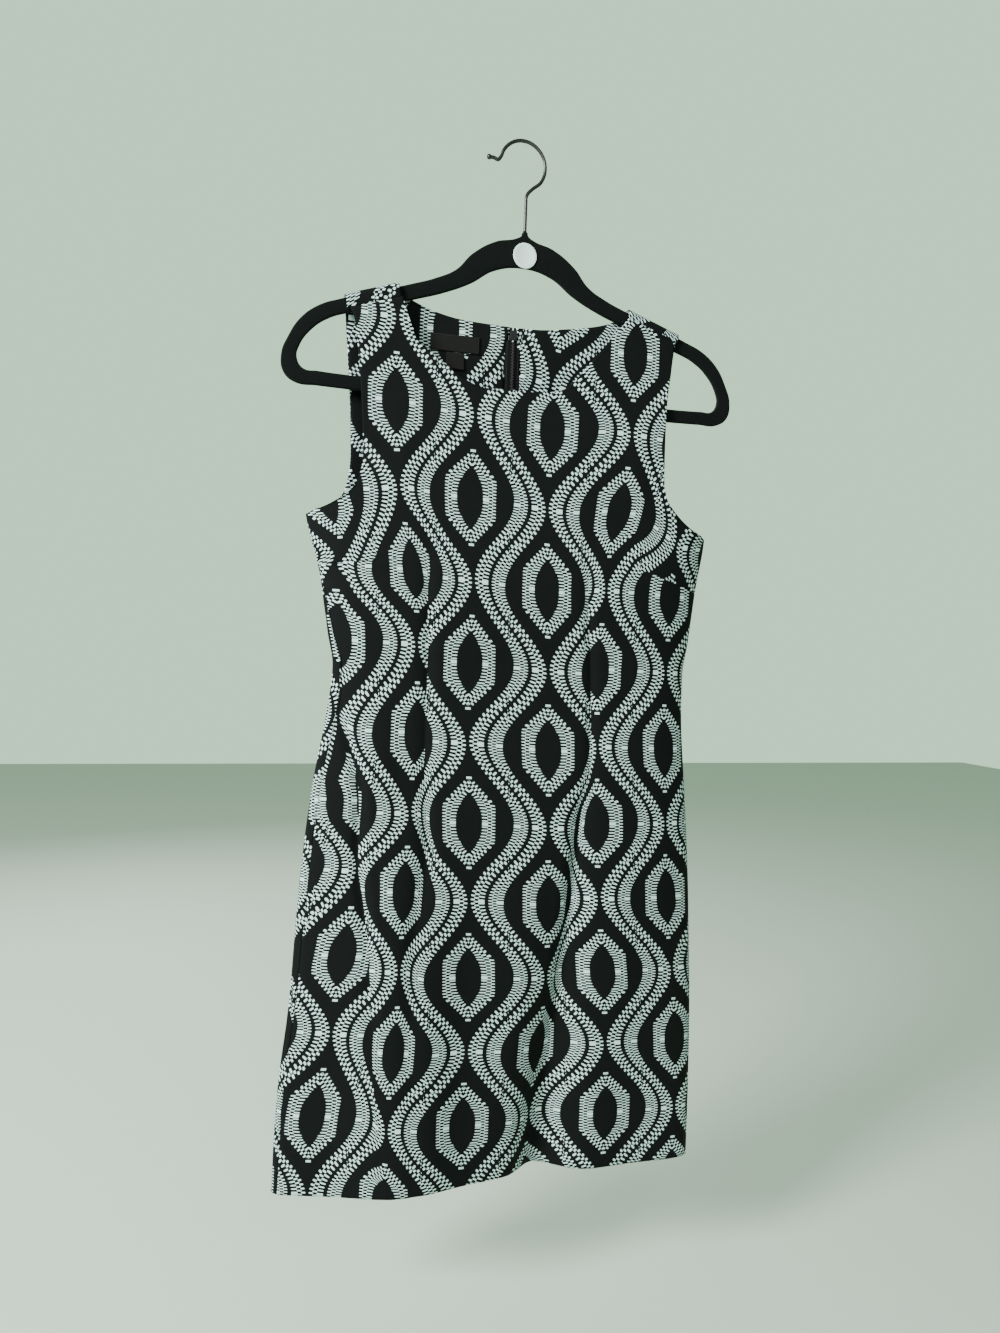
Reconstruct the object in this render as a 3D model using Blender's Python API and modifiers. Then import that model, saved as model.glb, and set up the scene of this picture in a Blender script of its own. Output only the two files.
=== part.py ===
"""Sleeveless shift dress with a centre-back zip, hanging on a slim flocked hanger.

Lengths are in millimetres until MM turns them into metres. The origin is where a rail
or prong touches the crown of the hanger's hook. +Z is up, +X is the viewer's right when
the dress faces the viewer, and the front faces -Y. "Drop" is a length down from the origin.
"""
import math

import bmesh
import bpy
import numpy as np
from mathutils import Matrix, Vector

MM = 0.001


def table(columns, *rows):
    """A short table as one array for each named column."""
    return dict(zip(columns.split(), np.array(rows, float).T))


# ---------------------------------------------------------------- driving dimensions

WALL = 1.2                # dress cloth
FACING_WALL = 1.0         # facing, zip tape and labels
SEAM_GAP = 0.3            # between pieces that are sewn together
FACING_GAP = 0.45         # between the back and its facing
UNDERARM = 351.0          # drop of the underarm points
HEM = 1003.6              # drop of the hem
NECK_CENTRE = -4.0        # x of the neckline's lowest point

HANGER_DISC = 100.6       # drop of the centre of the hanger's round disc
HANGER_THICK = 5.5
HANGER_ROUND = 1.5        # rounding of the hanger's long edges
ARM_START_X = 106.0       # the straight stretch of the hanger's arm starts here
ARM_START = 138.6         # drop of the arm's top edge there
ARM_SLOPE = 0.325

STRAP_RADIUS = 6.4        # outer face of the strap where it bends over the arm
STRAP_RISE = 3.7          # strap's ridge above the arm's top edge
SEAM_BELOW_RIDGE = {"left": 14.0, "right": 9.5}   # shoulder seam, down the front

# Level sections of the hanging dress. lead is how far the seam at -X stands forward.
SECTIONS = table(
    "drop  half_width centre front_depth back_depth squareness twist lead",
    (120,    201.0,  -5.0,   6.0,  7.5, 12.0, 0.000,  0),
    (163,    201.0,  -6.0,   6.5,  9.0, 12.0, 0.000,  0),
    (190,    201.0,  -5.5,   7.5,  9.8, 10.0, 0.000,  0),
    (226,    201.0,  -5.0,   9.5, 11.0,  7.0, 0.000,  0),
    (291,    201.0,  -1.5,  15.0, 14.0,  5.0, 0.002,  0),
    (351,    200.2,   1.7,  20.0, 18.0,  4.5, 0.004,  0),
    (401,    190.3,   4.5,  25.0, 20.0,  4.0, 0.006,  3),
    (456,    183.0,   6.0,  23.0, 21.0,  4.2, 0.009,  8),
    (488,    178.3,   6.5,  20.0, 21.0,  4.5, 0.011, 11),
    (539,    182.0,   4.2,  21.0, 23.0,  4.5, 0.014, 12),
    (596,    190.0,   2.0,  24.0, 25.0,  4.2, 0.017, 12),
    (681,    199.2,   1.2,  25.0, 27.0,  4.0, 0.023, 12),
    (796,    207.3,   1.2,  22.0, 29.0,  4.0, 0.031, 10),
    (901,    215.0,  -2.0,  18.0, 31.0,  4.2, 0.039,  8),
    (1003.6, 218.5,  -3.5,  16.0, 32.0,  4.5, 0.045,  8),
)

# Folds and darts: the line they follow, their half-width and how far they stand out.
FRONT_FOLDS = {
    "left_tuck": table(
        "drop  x   width rise",
        (351,  -152,  9,  0),
        (480,  -160,  9,  0),
        (560,  -155,  9, -3),
        (643,  -148,  8, -5),
        (717,  -139,  8, -5),
        (790,  -133, 10, -3),
        (900,  -126, 12,  0),
        (1003.6, -120, 12, 0),
    ),
    "left_dart": table(
        "drop  x   width rise",
        (351,  -88,  6,  0),
        (400,  -88,  6, -1.6),
        (488,  -85,  6, -2.4),
        (560,  -83,  6, -1.8),
        (620,  -82,  8,  0),
        (1003.6, -79, 8, 0),
    ),
    "right_valley": table(
        "drop  x   width rise",
        (351,   70,  6,  0),
        (401,   70,  6, -1.6),
        (488,   78,  6, -2.4),
        (573,   81,  7, -2.2),
        (635,   72, 14, -4.5),
        (797,   60, 22, -13),
        (880,   52, 27, -19),
        (1003.6, 48, 30, -26),
    ),
    "left_roll": table(
        "drop  x   width rise",
        (480,  -140, 18,  0),
        (600,  -130, 18,  4),
        (700,  -120, 20,  4),
        (850,  -112, 24,  0),
        (1003.6, -108, 24, 0),
    ),
    "left_swell": table(
        "drop  x   width rise",
        (600,   -95, 50,  0),
        (800,   -98, 58,  9),
        (1003.6, -100, 62, 20),
    ),
    "right_swell": table(
        "drop  x   width rise",
        (650,   140, 38,  0),
        (800,   146, 42, -2),
        (1003.6, 152, 45, -5),
    ),
}
BACK_FOLDS = {
    "left_back_dart": table(
        "drop  x   width rise",
        (351,   -76,  6,  0),
        (430,   -74,  6, -1.8),
        (495,   -72,  6, -2.4),
        (600,   -72,  9, -1),
        (760,   -70, 20, -5),
        (1003.6, -66, 30, -10),
    ),
    "right_back_dart": table(
        "drop  x   width rise",
        (351,    80,  6,  0),
        (430,    82,  6, -1.8),
        (495,    82,  6, -2.4),
        (600,    80,  9, -1),
        (760,    78, 22, -6),
        (1003.6, 80, 34, -12),
    ),
}

# Edges of the front and the back above the underarms, from the centre or the underarm up.
FRONT_NECK = {
    "left": table(
        "x drop", (-4, 224.8), (-33, 225.6), (-50, 222), (-72, 209.5), (-91, 195.5),
        (-101.5, 188.5), (-108.5, 171), (-115, 153.5)),
    "right": table(
        "x drop", (-4, 224.8), (20, 224.4), (41, 219.5), (54.5, 208), (66, 194),
        (78.5, 179), (94, 161), (106.5, 147)),
}
BACK_NECK = {
    "left": table(
        "x drop", (-6, 163.4), (-37, 162.8), (-61, 161.6), (-83, 157.6), (-97, 153.6),
        (-108, 149.5)),
    "right": table(
        "x drop", (-6, 163.4), (22, 162.4), (47, 158.8), (71, 154.4), (86, 150.5),
        (97, 146.5)),
}
FRONT_ARMHOLE = {
    "left": table(
        "x drop", (-198.5, 351), (-178, 341.5), (-160.5, 329), (-152.5, 315), (-149.2, 291),
        (-152.5, 226), (-155.5, 196), (-158.5, 176), (-162.5, 166)),
    "right": table(
        "x drop", (201.9, 351), (178.5, 341), (160, 326), (151.5, 312), (148.7, 288),
        (150, 226), (153, 196), (155, 176), (156.8, 164)),
}
BACK_ARMHOLE = {
    "left": table(
        "x drop", (-198.5, 351), (-177, 342), (-163.5, 328), (-158.5, 308), (-157.5, 285),
        (-159.5, 240), (-162.5, 200), (-165, 170)),
    "right": table(
        "x drop", (201.9, 351), (177.5, 342), (163, 328), (157, 308), (155.5, 285),
        (156.5, 240), (157.5, 200), (158.5, 166)),
}
# Edges of the back's strap, from the back over the arm to the seam on the front. Drop
# counts along the bent cloth, and each last drop is replaced by the seam's.
STRAP_INNER = {
    "left": table(
        "x drop", (-108, 149.5), (-114, 145), (-118, 139.5), (-119, 135), (-118, 128),
        (-116, 119)),
    "right": table(
        "x drop", (97, 146.5), (102.5, 142.3), (106.5, 136.5), (107.8, 132), (107.5, 126),
        (107, 119)),
}
STRAP_OUTER = {
    "left": table(
        "x drop", (-165, 170), (-166.3, 160), (-166.7, 152), (-166, 143), (-165, 135)),
    "right": table(
        "x drop", (158.5, 166), (160, 157), (160.7, 149), (160.2, 141), (158.5, 135)),
}
# Lower edge of the facing inside the back, from the zip out to the armhole.
FACING_EDGE = {
    "left": table("x drop", (-12, 251), (-60, 256), (-106, 280), (-142, 314), (-168.5, 334)),
    "right": table("x drop", (4, 251), (60, 256), (106, 280), (142, 314), (168.5, 334)),
}

# Columns of cloth points, as shares of the way from one line to the next.
FRONT_STRETCHES = (
    ("left_tuck", (0, 0.07, 0.2, 0.5, 1)),
    ("left_dart", (0, 0.34, 0.67, 1)),
    ("centre", (0, 0.25, 0.5, 0.75, 1)),
    ("right_valley", (0, 0.28, 0.55, 0.8, 1)),
    ("side", (0, 0.12, 0.28, 0.48, 0.7, 0.87, 0.96, 1)),
)
BACK_STRETCHES = (
    ("tape", (0, 1)),
    ("dart", (0, 0.28, 0.55, 0.8, 1)),
    ("side", (0, 0.14, 0.32, 0.55, 0.78, 0.93, 1)),
)
SKIRT_ROWS = 24
FRONT_YOKE_ROWS = 9
BACK_YOKE_SHARES = (0, 0.14, 0.28, 0.43, 0.58, 0.73, 0.87, 0.925, 1)
STRAP_ROWS = 12
FRONT_STRAP_COLUMNS = {"left": 3, "right": 4}
BACK_STRAP_COLUMNS = 4

# Zip: two tapes down the centre back, a slider and its pull tab.
TAPE_WIDTH = 7.6
TAPE_END = 660.0
SLIDER_DROP = 171.0       # drop of the slider's middle
SLIDER_OPEN = 1.0         # half the seam's opening round the slider
SEAM_CLOSED = 188.0       # drop where that opening has closed
SLIDER_BODY = (6.4, 2.1, 9.0)
SLIDER_BODY_FACE = 2.85   # slider body's outer face, in from the dress's outer face
BRIDGE_THICK = 1.2
BRIDGE_REACH = 3.6
BRIDGE_HALF = 3.4
WINDOW = (0.5, 2.7, 2.4)  # inner face, outer face, half height
PULL_AXIS_OUT = 1.6
PULL_THICK = 1.0

# Labels on the facing: x span and drop span.
MAIN_LABEL = (-86.0, -38.5, 176.5, 192.0)
SIZE_TAB = (-70.0, -53.0, 192.4, 208.0)

# Hanger outlines from the middle out, in x and height above the disc's centre.
HANGER_OUTER = table(
    "x   up",
    (2.3, 21.4), (2.9, 18.9), (8.0, 15.3), (28, 9.7), (50, -4), (65, -20), (84, -30),
    (106, -38), (169, -58.5), (190, -67), (206, -80), (216, -96), (222, -112),
    (219.5, -128), (209, -135.4), (190, -136.2), (100, -137.4))
HANGER_OUTER_TOP = 22.0
HANGER_OUTER_MIDDLE = -138.6
HANGER_INNER = table(
    "x   up",
    (28, -16), (50, -30), (72, -40.3), (106, -52), (160, -69), (180, -76.5), (195, -87.5),
    (206, -103), (208.3, -114), (203, -122.6), (190, -123.8), (100, -125))
HANGER_INNER_TOP = -10.5
HANGER_INNER_MIDDLE = -126.2
DISC_RADIUS = 11.5
DISC_THICK = 0.8

WIRE_RADIUS = 1.65
HOOK_CENTRE = (-4.0, 19.8)     # x and drop of the hook's round part
HOOK_RADIUS = 21.8
HOOK_FROM, HOOK_TO = -38.0, 166.0
STEM_BEND = ((0.0, 55.0), (0.0, 48.5), (1.6, 44.0), (6.4, 38.8))
HOOK_TIP = ((-28.6, 18.2), (-32.0, 17.1), (-35.0, 17.0))
TIP_BALL = 1.45                # ball's radius as a share of the wire's

CLOTH = (0.012, 0.015, 0.016)
FLOCK = (0.006, 0.007, 0.007)
TAPE_BLACK = (0.008, 0.008, 0.009)
LABEL_BLACK = (0.010, 0.010, 0.011)
DISC_WHITE = (0.78, 0.83, 0.80)
GUNMETAL = (0.20, 0.20, 0.21)


# ---------------------------------------------------------------- scene and materials

def clear_scene():
    for obj in list(bpy.data.objects):
        bpy.data.objects.remove(obj, do_unlink=True)
    bpy.context.scene.unit_settings.scale_length = 1.0


def new_collection(name):
    collection = bpy.data.collections.new(name)
    bpy.context.scene.collection.children.link(collection)
    return collection


def material(name, colour, roughness, metallic=0.0):
    mat = bpy.data.materials.new(name)
    mat.use_nodes = True
    shader = mat.node_tree.nodes["Principled BSDF"]
    shader.inputs["Base Color"].default_value = (*colour, 1.0)
    shader.inputs["Roughness"].default_value = roughness
    shader.inputs["Metallic"].default_value = metallic
    return mat


def add_object(name, data, mat, collection):
    obj = bpy.data.objects.new(name, data)
    data.materials.append(mat)
    collection.objects.link(obj)
    return obj


# ---------------------------------------------------------------- curves through tables

def smooth_value(xs, ys, x):
    """Value at x of a smooth curve through the points, with no overshoot between them."""
    xs = np.asarray(xs, float)
    ys = np.asarray(ys, float)
    x = np.clip(x, xs[0], xs[-1])
    rise = np.diff(ys) / np.diff(xs)
    slope = np.concatenate([rise[:1], (rise[:-1] + rise[1:]) / 2, rise[-1:]])
    turning = np.concatenate([[False], rise[:-1] * rise[1:] <= 0, [False]])
    slope[turning] = 0.0
    i = np.clip(np.searchsorted(xs, x, side="right") - 1, 0, len(xs) - 2)
    step = xs[i + 1] - xs[i]
    t = (x - xs[i]) / step
    start = ys[i] * (1 + 2 * t) * (1 - t) ** 2 + slope[i] * step * t * (1 - t) ** 2
    end = ys[i + 1] * t * t * (3 - 2 * t) - slope[i + 1] * step * t * t * (1 - t)
    return start + end


def at_drop(rows, name, drop):
    return smooth_value(rows["drop"], rows[name], drop)


def smoothstep(low, high, value):
    t = np.clip((value - low) / (high - low), 0.0, 1.0)
    return t * t * (3 - 2 * t)


def edge_curve(rows, shares):
    """Points (x, drop) along a table's smooth edge, at shares of its length."""
    count = len(rows["x"])
    fine = np.linspace(0, count - 1, 24 * count)
    xs = smooth_value(np.arange(count), rows["x"], fine)
    drops = smooth_value(np.arange(count), rows["drop"], fine)
    length = np.concatenate([[0], np.cumsum(np.hypot(np.diff(xs), np.diff(drops)))])
    at = np.asarray(shares) * length[-1]
    return np.stack([np.interp(at, length, xs), np.interp(at, length, drops)], axis=1)


# ---------------------------------------------------------------- the dress's surface

def ridge_drop(x):
    """Drop of the strap's ridge, where the cloth bends over the hanger's arm."""
    return ARM_START + ARM_SLOPE * (abs(x) - ARM_START_X) - STRAP_RISE


def fold_rise(folds, x, drop):
    """How far the folds carry the cloth outwards at a point."""
    total = 0.0
    for rows in folds.values():
        away = (x - at_drop(rows, "x", drop)) / at_drop(rows, "width", drop)
        total = total + at_drop(rows, "rise", drop) * np.exp(-away * away)
    return total


def surface_y(side, x, drop):
    """y of the dress's outer face; side is -1 on the front and 1 on the back."""
    centre = at_drop(SECTIONS, "centre", drop)
    across = np.clip(np.abs(x - centre) / at_drop(SECTIONS, "half_width", drop), 0, 1)
    roundness = np.sqrt(1 - across ** at_drop(SECTIONS, "squareness", drop))
    depth = at_drop(SECTIONS, "front_depth" if side < 0 else "back_depth", drop)
    depth = depth + fold_rise(FRONT_FOLDS if side < 0 else BACK_FOLDS, x, drop)
    hanging = side * roundness * depth - at_drop(SECTIONS, "twist", drop) * (x - centre)
    strap_end = ridge_drop(x) + STRAP_RADIUS
    free = smoothstep(strap_end, strap_end + 45, drop)
    on_strap = smoothstep(80, 110, np.abs(x)) * (1 - free)
    return hanging * (1 - on_strap) + side * STRAP_RADIUS * on_strap


def lift(side, flat):
    """Points in space of (x, drop) points. Above the ridge, drop counts along the bent cloth."""
    x, drop = np.moveaxis(np.asarray(flat, float), -1, 0)
    ridge = ridge_drop(x)
    quarter = math.pi / 2 * STRAP_RADIUS
    past = drop - ridge - STRAP_RADIUS + quarter
    turn = np.clip(past, -quarter, quarter) / STRAP_RADIUS
    beyond = np.maximum(-past - quarter, 0.0)
    bent_drop = ridge + STRAP_RADIUS * (1 - np.cos(turn)) + beyond
    free = (np.abs(x) < 80) | (past >= quarter)
    y = np.where(free, surface_y(side, x, drop), side * STRAP_RADIUS * np.sin(turn))
    return np.stack([x, y, -np.where(free, drop, bent_drop)], axis=-1)


# ---------------------------------------------------------------- rows of cloth points

def section_side(side, drop, toward):
    """Dense (x, arc length) of one side's section, from the side at -toward to +toward."""
    width = at_drop(SECTIONS, "half_width", drop)
    centre = at_drop(SECTIONS, "centre", drop)
    even = np.linspace(-1, 1, 241)
    turn = np.linspace(0, math.pi / 2, 60)
    ends = np.sin(turn) ** (2 / at_drop(SECTIONS, "squareness", drop))
    across = np.unique(np.concatenate([even, ends, -ends]))
    xs = centre + toward * width * across
    ys = surface_y(side, xs, drop)
    length = np.concatenate([[0], np.cumsum(np.hypot(np.diff(xs), np.diff(ys)))])
    return xs, length


def spread(anchors, stretches):
    """Positions between anchor positions, at each stretch's shares."""
    places = [anchors[0]]
    for start, end, (_, shares) in zip(anchors, anchors[1:], stretches):
        places += [start + (end - start) * share for share in shares[1:]]
    return places


def front_row(drop):
    """x of the front's points at a drop, from the seam at -X to the seam at +X."""
    xs, length = section_side(-1, drop, 1)
    lead = at_drop(SECTIONS, "lead", drop)
    marks = [at_drop(FRONT_FOLDS["left_tuck"], "x", drop),
             at_drop(FRONT_FOLDS["left_dart"], "x", drop),
             at_drop(SECTIONS, "centre", drop),
             at_drop(FRONT_FOLDS["right_valley"], "x", drop)]
    anchors = [lead + SEAM_GAP / 2, *np.interp(marks, xs, length), length[-1] - SEAM_GAP / 2]
    return np.interp(spread(anchors, FRONT_STRETCHES), length, xs)


def seam_opening(drop):
    """Half the gap of the centre-back seam: wider round the zip's slider."""
    closing = smoothstep(SLIDER_DROP + 6.5, SEAM_CLOSED, drop)
    return SLIDER_OPEN + (SEAM_GAP / 2 - SLIDER_OPEN) * closing


def back_row(drop, toward):
    """(side, x) of a back half's points at a drop, from the centre seam to the side seam.

    The seam at -X stands forward of the side, so that half runs on round the side.
    """
    centre = at_drop(SECTIONS, "centre", drop)
    xs, length = section_side(1, drop, toward)
    dart = BACK_FOLDS["left_back_dart" if toward < 0 else "right_back_dart"]
    marks = [centre + toward * seam_opening(drop), centre + toward * TAPE_WIDTH,
             at_drop(dart, "x", drop)]
    order = np.argsort(xs)
    arcs = [float(np.interp(x, xs[order], length[order])) for x in marks]
    lead = at_drop(SECTIONS, "lead", drop) if toward < 0 else 0.0
    places = spread([*arcs, length[-1] + lead - SEAM_GAP / 2], BACK_STRETCHES)
    row = []
    front_xs, front_length = section_side(-1, drop, 1)
    for place in places:
        if place <= length[-1]:
            row.append((1, float(np.interp(place, length, xs))))
        else:
            row.append((-1, float(np.interp(place - length[-1], front_length, front_xs))))
    return row


def coons(bottom, top, inner, outer, shares):
    """Points filling four edges, in rows at shares of the way up; columns run inner to outer."""
    along = np.asarray(shares)[:, None, None]
    across = np.linspace(0, 1, len(bottom))[None, :, None]
    ruled = (1 - along) * bottom[None] + along * top[None]
    ruled = ruled + (1 - across) * inner[:, None] + across * outer[:, None]
    corners = (1 - along) * ((1 - across) * bottom[0] + across * bottom[-1])
    corners = corners + along * ((1 - across) * top[0] + across * top[-1])
    return ruled - corners


def skirt_drops():
    return np.linspace(HEM, UNDERARM, SKIRT_ROWS + 1)


def row_between(start, end, count):
    """Evenly spaced points of a straight row, both ends included."""
    return start + np.linspace(0, 1, count)[:, None] * (end - start)


def top_edge(neck, strap_end, strap_columns, columns):
    """The neckline from the centre out, then a row across the strap to the armhole."""
    points = edge_curve(neck, np.linspace(0, 1, columns - strap_columns + 1))
    return np.concatenate([points, row_between(points[-1], strap_end, strap_columns + 1)[1:]])


def front_seam_drop(half, x):
    return ridge_drop(x) + SEAM_BELOW_RIDGE[half] + SEAM_GAP


def back_seam_drop(half, x):
    """The same seam from the back, counted along the cloth bent over the ridge."""
    bend = (math.pi - 2) * STRAP_RADIUS
    return ridge_drop(x) - SEAM_BELOW_RIDGE[half] - bend


def with_end(rows, drop):
    """The table with its last point carried to a drop."""
    return {"x": rows["x"], "drop": np.concatenate([rows["drop"][:-1], [drop]])}


def front_yoke(half, bottom):
    """Front above the underarm on one half, with columns from the centre to the armhole."""
    columns = len(bottom) - 1
    neck = with_end(FRONT_NECK[half], front_seam_drop(half, FRONT_NECK[half]["x"][-1]))
    armhole = with_end(FRONT_ARMHOLE[half], front_seam_drop(half, FRONT_ARMHOLE[half]["x"][-1]))
    shares = np.linspace(0, 1, FRONT_YOKE_ROWS + 1)
    outer = edge_curve(armhole, shares)
    outer[0] = bottom[-1]
    top = top_edge(neck, outer[-1], FRONT_STRAP_COLUMNS[half], columns)
    inner = row_between(bottom[0], top[0], len(shares))
    return coons(bottom, top, inner, outer, shares)


def front_grid():
    skirt = np.array([[(x, drop) for x in front_row(drop)] for drop in skirt_drops()])
    centre = sum(len(shares) - 1 for _, shares in FRONT_STRETCHES[:3])
    bottom = skirt[-1]
    left = front_yoke("left", bottom[centre::-1])[:, ::-1]
    right = front_yoke("right", bottom[centre:])
    yoke = np.concatenate([left, right[:, 1:]], axis=1)
    return lift(-1, np.concatenate([skirt, yoke[1:]]))


def back_skirt(half):
    toward = -1 if half == "left" else 1
    rows = [back_row(drop, toward) for drop in skirt_drops()]
    return np.array([[lift(side, (x, drop)) for side, x in row]
                     for drop, row in zip(skirt_drops(), rows)])


def yoke_and_strap(half, bottom, armhole, columns, set_columns):
    """A back half's points above a lower edge, and over the arm to the shoulder seam.

    set_columns holds (column, distance from the centre) for lines that stay upright. Only
    the strap's columns run on over the arm; the rest of those rows is left out as NaN.
    """
    shares = np.array(BACK_YOKE_SHARES)
    outer = edge_curve(armhole, shares)
    outer[0] = bottom[-1]
    top = top_edge(BACK_NECK[half], outer[-1], BACK_STRAP_COLUMNS, columns)
    inner = bottom[0] + shares[:, None] * (top[0] - bottom[0])
    flat = coons(bottom, top, inner, outer, shares)
    toward = -1 if half == "left" else 1
    for row in flat:
        centre = at_drop(SECTIONS, "centre", row[0][1])
        for column, away in set_columns:
            row[column][0] = centre + toward * away(row[0][1])
    strap_inner = with_end(STRAP_INNER[half], back_seam_drop(half, STRAP_INNER[half]["x"][-1]))
    strap_outer = with_end(STRAP_OUTER[half], back_seam_drop(half, STRAP_OUTER[half]["x"][-1]))
    shares = np.linspace(0, 1, STRAP_ROWS + 1)
    edges = [edge_curve(strap_inner, shares), edge_curve(strap_outer, shares)]
    rows = [row_between(a, b, BACK_STRAP_COLUMNS + 1) for a, b in zip(*edges)]
    strap = np.full((STRAP_ROWS, columns + 1, 2), np.nan)
    strap[:, columns - BACK_STRAP_COLUMNS:] = rows[1:]
    return lift(1, np.concatenate([flat, strap]))


def back_yoke(half, bottom):
    armhole = BACK_ARMHOLE[half]
    upright = ((0, seam_opening), (1, lambda drop: TAPE_WIDTH))
    return yoke_and_strap(half, bottom, armhole, len(bottom) - 1, upright)


def facing_grid(half):
    """The facing's points: the back's neck and armhole, down to the facing's own edge."""
    columns = sum(len(shares) - 1 for _, shares in BACK_STRETCHES) - 1
    bottom = edge_curve(FACING_EDGE[half], np.linspace(0, 1, columns + 1))
    corner = dict(zip(("x", "drop"), bottom[-1]))
    armhole = {name: np.concatenate([[corner[name]], values[2:]])
               for name, values in BACK_ARMHOLE[half].items()}
    upright = ((0, lambda drop: TAPE_WIDTH + SEAM_GAP),)
    return yoke_and_strap(half, bottom, armhole, columns, upright)


# ---------------------------------------------------------------- cloth solids

def unit(vectors):
    return vectors / np.maximum(np.linalg.norm(vectors, axis=-1, keepdims=True), 1e-9)


def directions(grid, axis, before=None, after=None):
    """Mean of the unit steps on both sides of each point, leaving out any that is NaN."""
    grid = np.moveaxis(grid, axis, 0)
    steps = unit(np.diff(grid, axis=0))
    none = np.full_like(grid[:1], np.nan)
    first = none if before is None else unit(grid[0] - before)[None]
    last = none if after is None else unit(after - grid[-1])[None]
    steps = np.nan_to_num(np.concatenate([first, steps, last]))
    return np.moveaxis(steps[:-1] + steps[1:], 0, axis)


def normals(grid, before=None, after=None):
    """Unit normals; before and after are the next pieces' columns, beyond the seams."""
    across = directions(grid, 1, before, after)
    along = directions(grid, 0)
    return unit(np.cross(across, along))


def cloth(name, grid, wall, mat, collection, inward=0.0, beside=(None, None)):
    """A piece of cloth with its outer face through the grid moved inward.

    Seen from outside, rows run upwards and columns to the right. Points that are NaN are
    left out. Each wall edge follows the normal it shares with the next piece, so that two
    pieces stay a seam's width apart right through.
    """
    normal = normals(grid, *beside)
    kept = ~np.isnan(grid[:, :, 0])
    number = np.cumsum(kept.ravel()).reshape(kept.shape) - 1
    outer = (grid - inward * normal)[kept]
    inner = (grid - (inward + wall) * normal)[kept]
    count = len(outer)
    quads = []
    for r in range(len(grid) - 1):
        for c in range(grid.shape[1] - 1):
            if kept[r:r + 2, c:c + 2].all():
                quads.append((number[r, c], number[r, c + 1],
                              number[r + 1, c + 1], number[r + 1, c]))
    edges = {(a, b) for quad in quads for a, b in zip(quad, quad[1:] + quad[:1])}
    rim = [(b, a, a + count, b + count) for a, b in sorted(edges) if (b, a) not in edges]
    inner_quads = [tuple(n + count for n in reversed(quad)) for quad in quads]
    faces = [tuple(map(int, face)) for face in quads + inner_quads + rim]
    mesh = bpy.data.meshes.new(name)
    mesh.from_pydata((np.concatenate([outer, inner]) * MM).tolist(), [], faces)
    mesh.shade_smooth()
    return add_object(name, mesh, mat, collection)


def trimmed(grid):
    """The grid with SEAM_GAP / 2 taken off its first and last columns."""
    part = grid.copy()
    part[:, 0] += unit(grid[:, 1] - grid[:, 0]) * SEAM_GAP / 2
    part[:, -1] += unit(grid[:, -2] - grid[:, -1]) * SEAM_GAP / 2
    return part


def facing_patch(name, x_low, x_high, drop_top, drop_low, inward, mat, collection):
    """A small flat piece sewn on the inner face of the back."""
    flat = [[(x, drop) for x in np.linspace(x_high, x_low, 6)]
            for drop in np.linspace(drop_low, drop_top, 3)]
    return cloth(name, lift(1, flat), FACING_WALL, mat, collection, inward=inward)


def build_dress(collection):
    print_cloth = material("Printed cloth", CLOTH, 0.85)
    tape = material("Zip tape", TAPE_BLACK, 0.8)
    label = material("Woven label", LABEL_BLACK, 0.7)
    front = front_grid()
    skirts = {half: back_skirt(half) for half in ("left", "right")}
    rows = len(skirt_drops())
    beside = [np.full_like(front[:, 0], np.nan) for _ in range(2)]
    beside[0][:rows] = skirts["left"][:, -2]
    beside[1][:rows] = skirts["right"][:, -2]
    cloth("front_panel", front, WALL, print_cloth, collection, beside=beside)
    under = WALL + SEAM_GAP
    for half, next_column in (("left", 1), ("right", -2)):
        bottom = np.stack([skirts[half][-1, :, 0], np.full(skirts[half].shape[1], UNDERARM)], 1)
        yoke = back_yoke(half, bottom)
        back = np.concatenate([skirts[half], yoke[1:]])
        across_seam = np.full_like(back[:, 0], np.nan)
        across_seam[:rows] = front[:rows, next_column]
        facing = trimmed(facing_grid(half))
        first = int(np.argmin(np.abs(skirt_drops() - TAPE_END)))
        upper = rows + len(BACK_YOKE_SHARES) - 1
        strip = trimmed(back[first:upper, :2])
        strip[:, 0] = back[first:upper, 0]
        if half == "left":
            edges = (None, across_seam)
        else:
            edges = (across_seam, None)
            back, facing, strip = (grid[:, ::-1] for grid in (back, facing, strip))
        cloth(f"back_{half}", back, WALL, print_cloth, collection, beside=edges)
        cloth(f"facing_{half}", facing, FACING_WALL, print_cloth, collection,
              inward=WALL + FACING_GAP)
        cloth(f"zip_tape_{half}", strip, FACING_WALL, tape, collection, inward=under)
    on_facing = WALL + FACING_GAP + FACING_WALL + SEAM_GAP + 0.1
    facing_patch("main_label", *MAIN_LABEL, on_facing, label, collection)
    facing_patch("size_tab", *SIZE_TAB, on_facing, label, collection)


# ---------------------------------------------------------------- outlines

def outline(name, splines, half_thick, mat, collection, rounding=0.0):
    """A flat closed outline with holes, given a thickness and rounded long edges."""
    curve = bpy.data.curves.new(name, "CURVE")
    curve.dimensions = "2D"
    curve.fill_mode = "BOTH"
    curve.resolution_u = 3
    curve.extrude = (half_thick - rounding) * MM
    curve.bevel_depth = rounding * MM
    curve.bevel_resolution = 1
    curve.offset = -rounding * MM
    for points, smooth in splines:
        spline = curve.splines.new("BEZIER" if smooth else "POLY")
        spline.use_cyclic_u = True
        places = spline.bezier_points if smooth else spline.points
        places.add(len(points) - 1)
        for place, (x, y) in zip(places, points):
            if smooth:
                place.co = (x * MM, y * MM, 0)
                place.handle_left_type = "AUTO"
                place.handle_right_type = "AUTO"
            else:
                place.co = (x * MM, y * MM, 0, 1)
    return add_object(name, curve, mat, collection)


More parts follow.
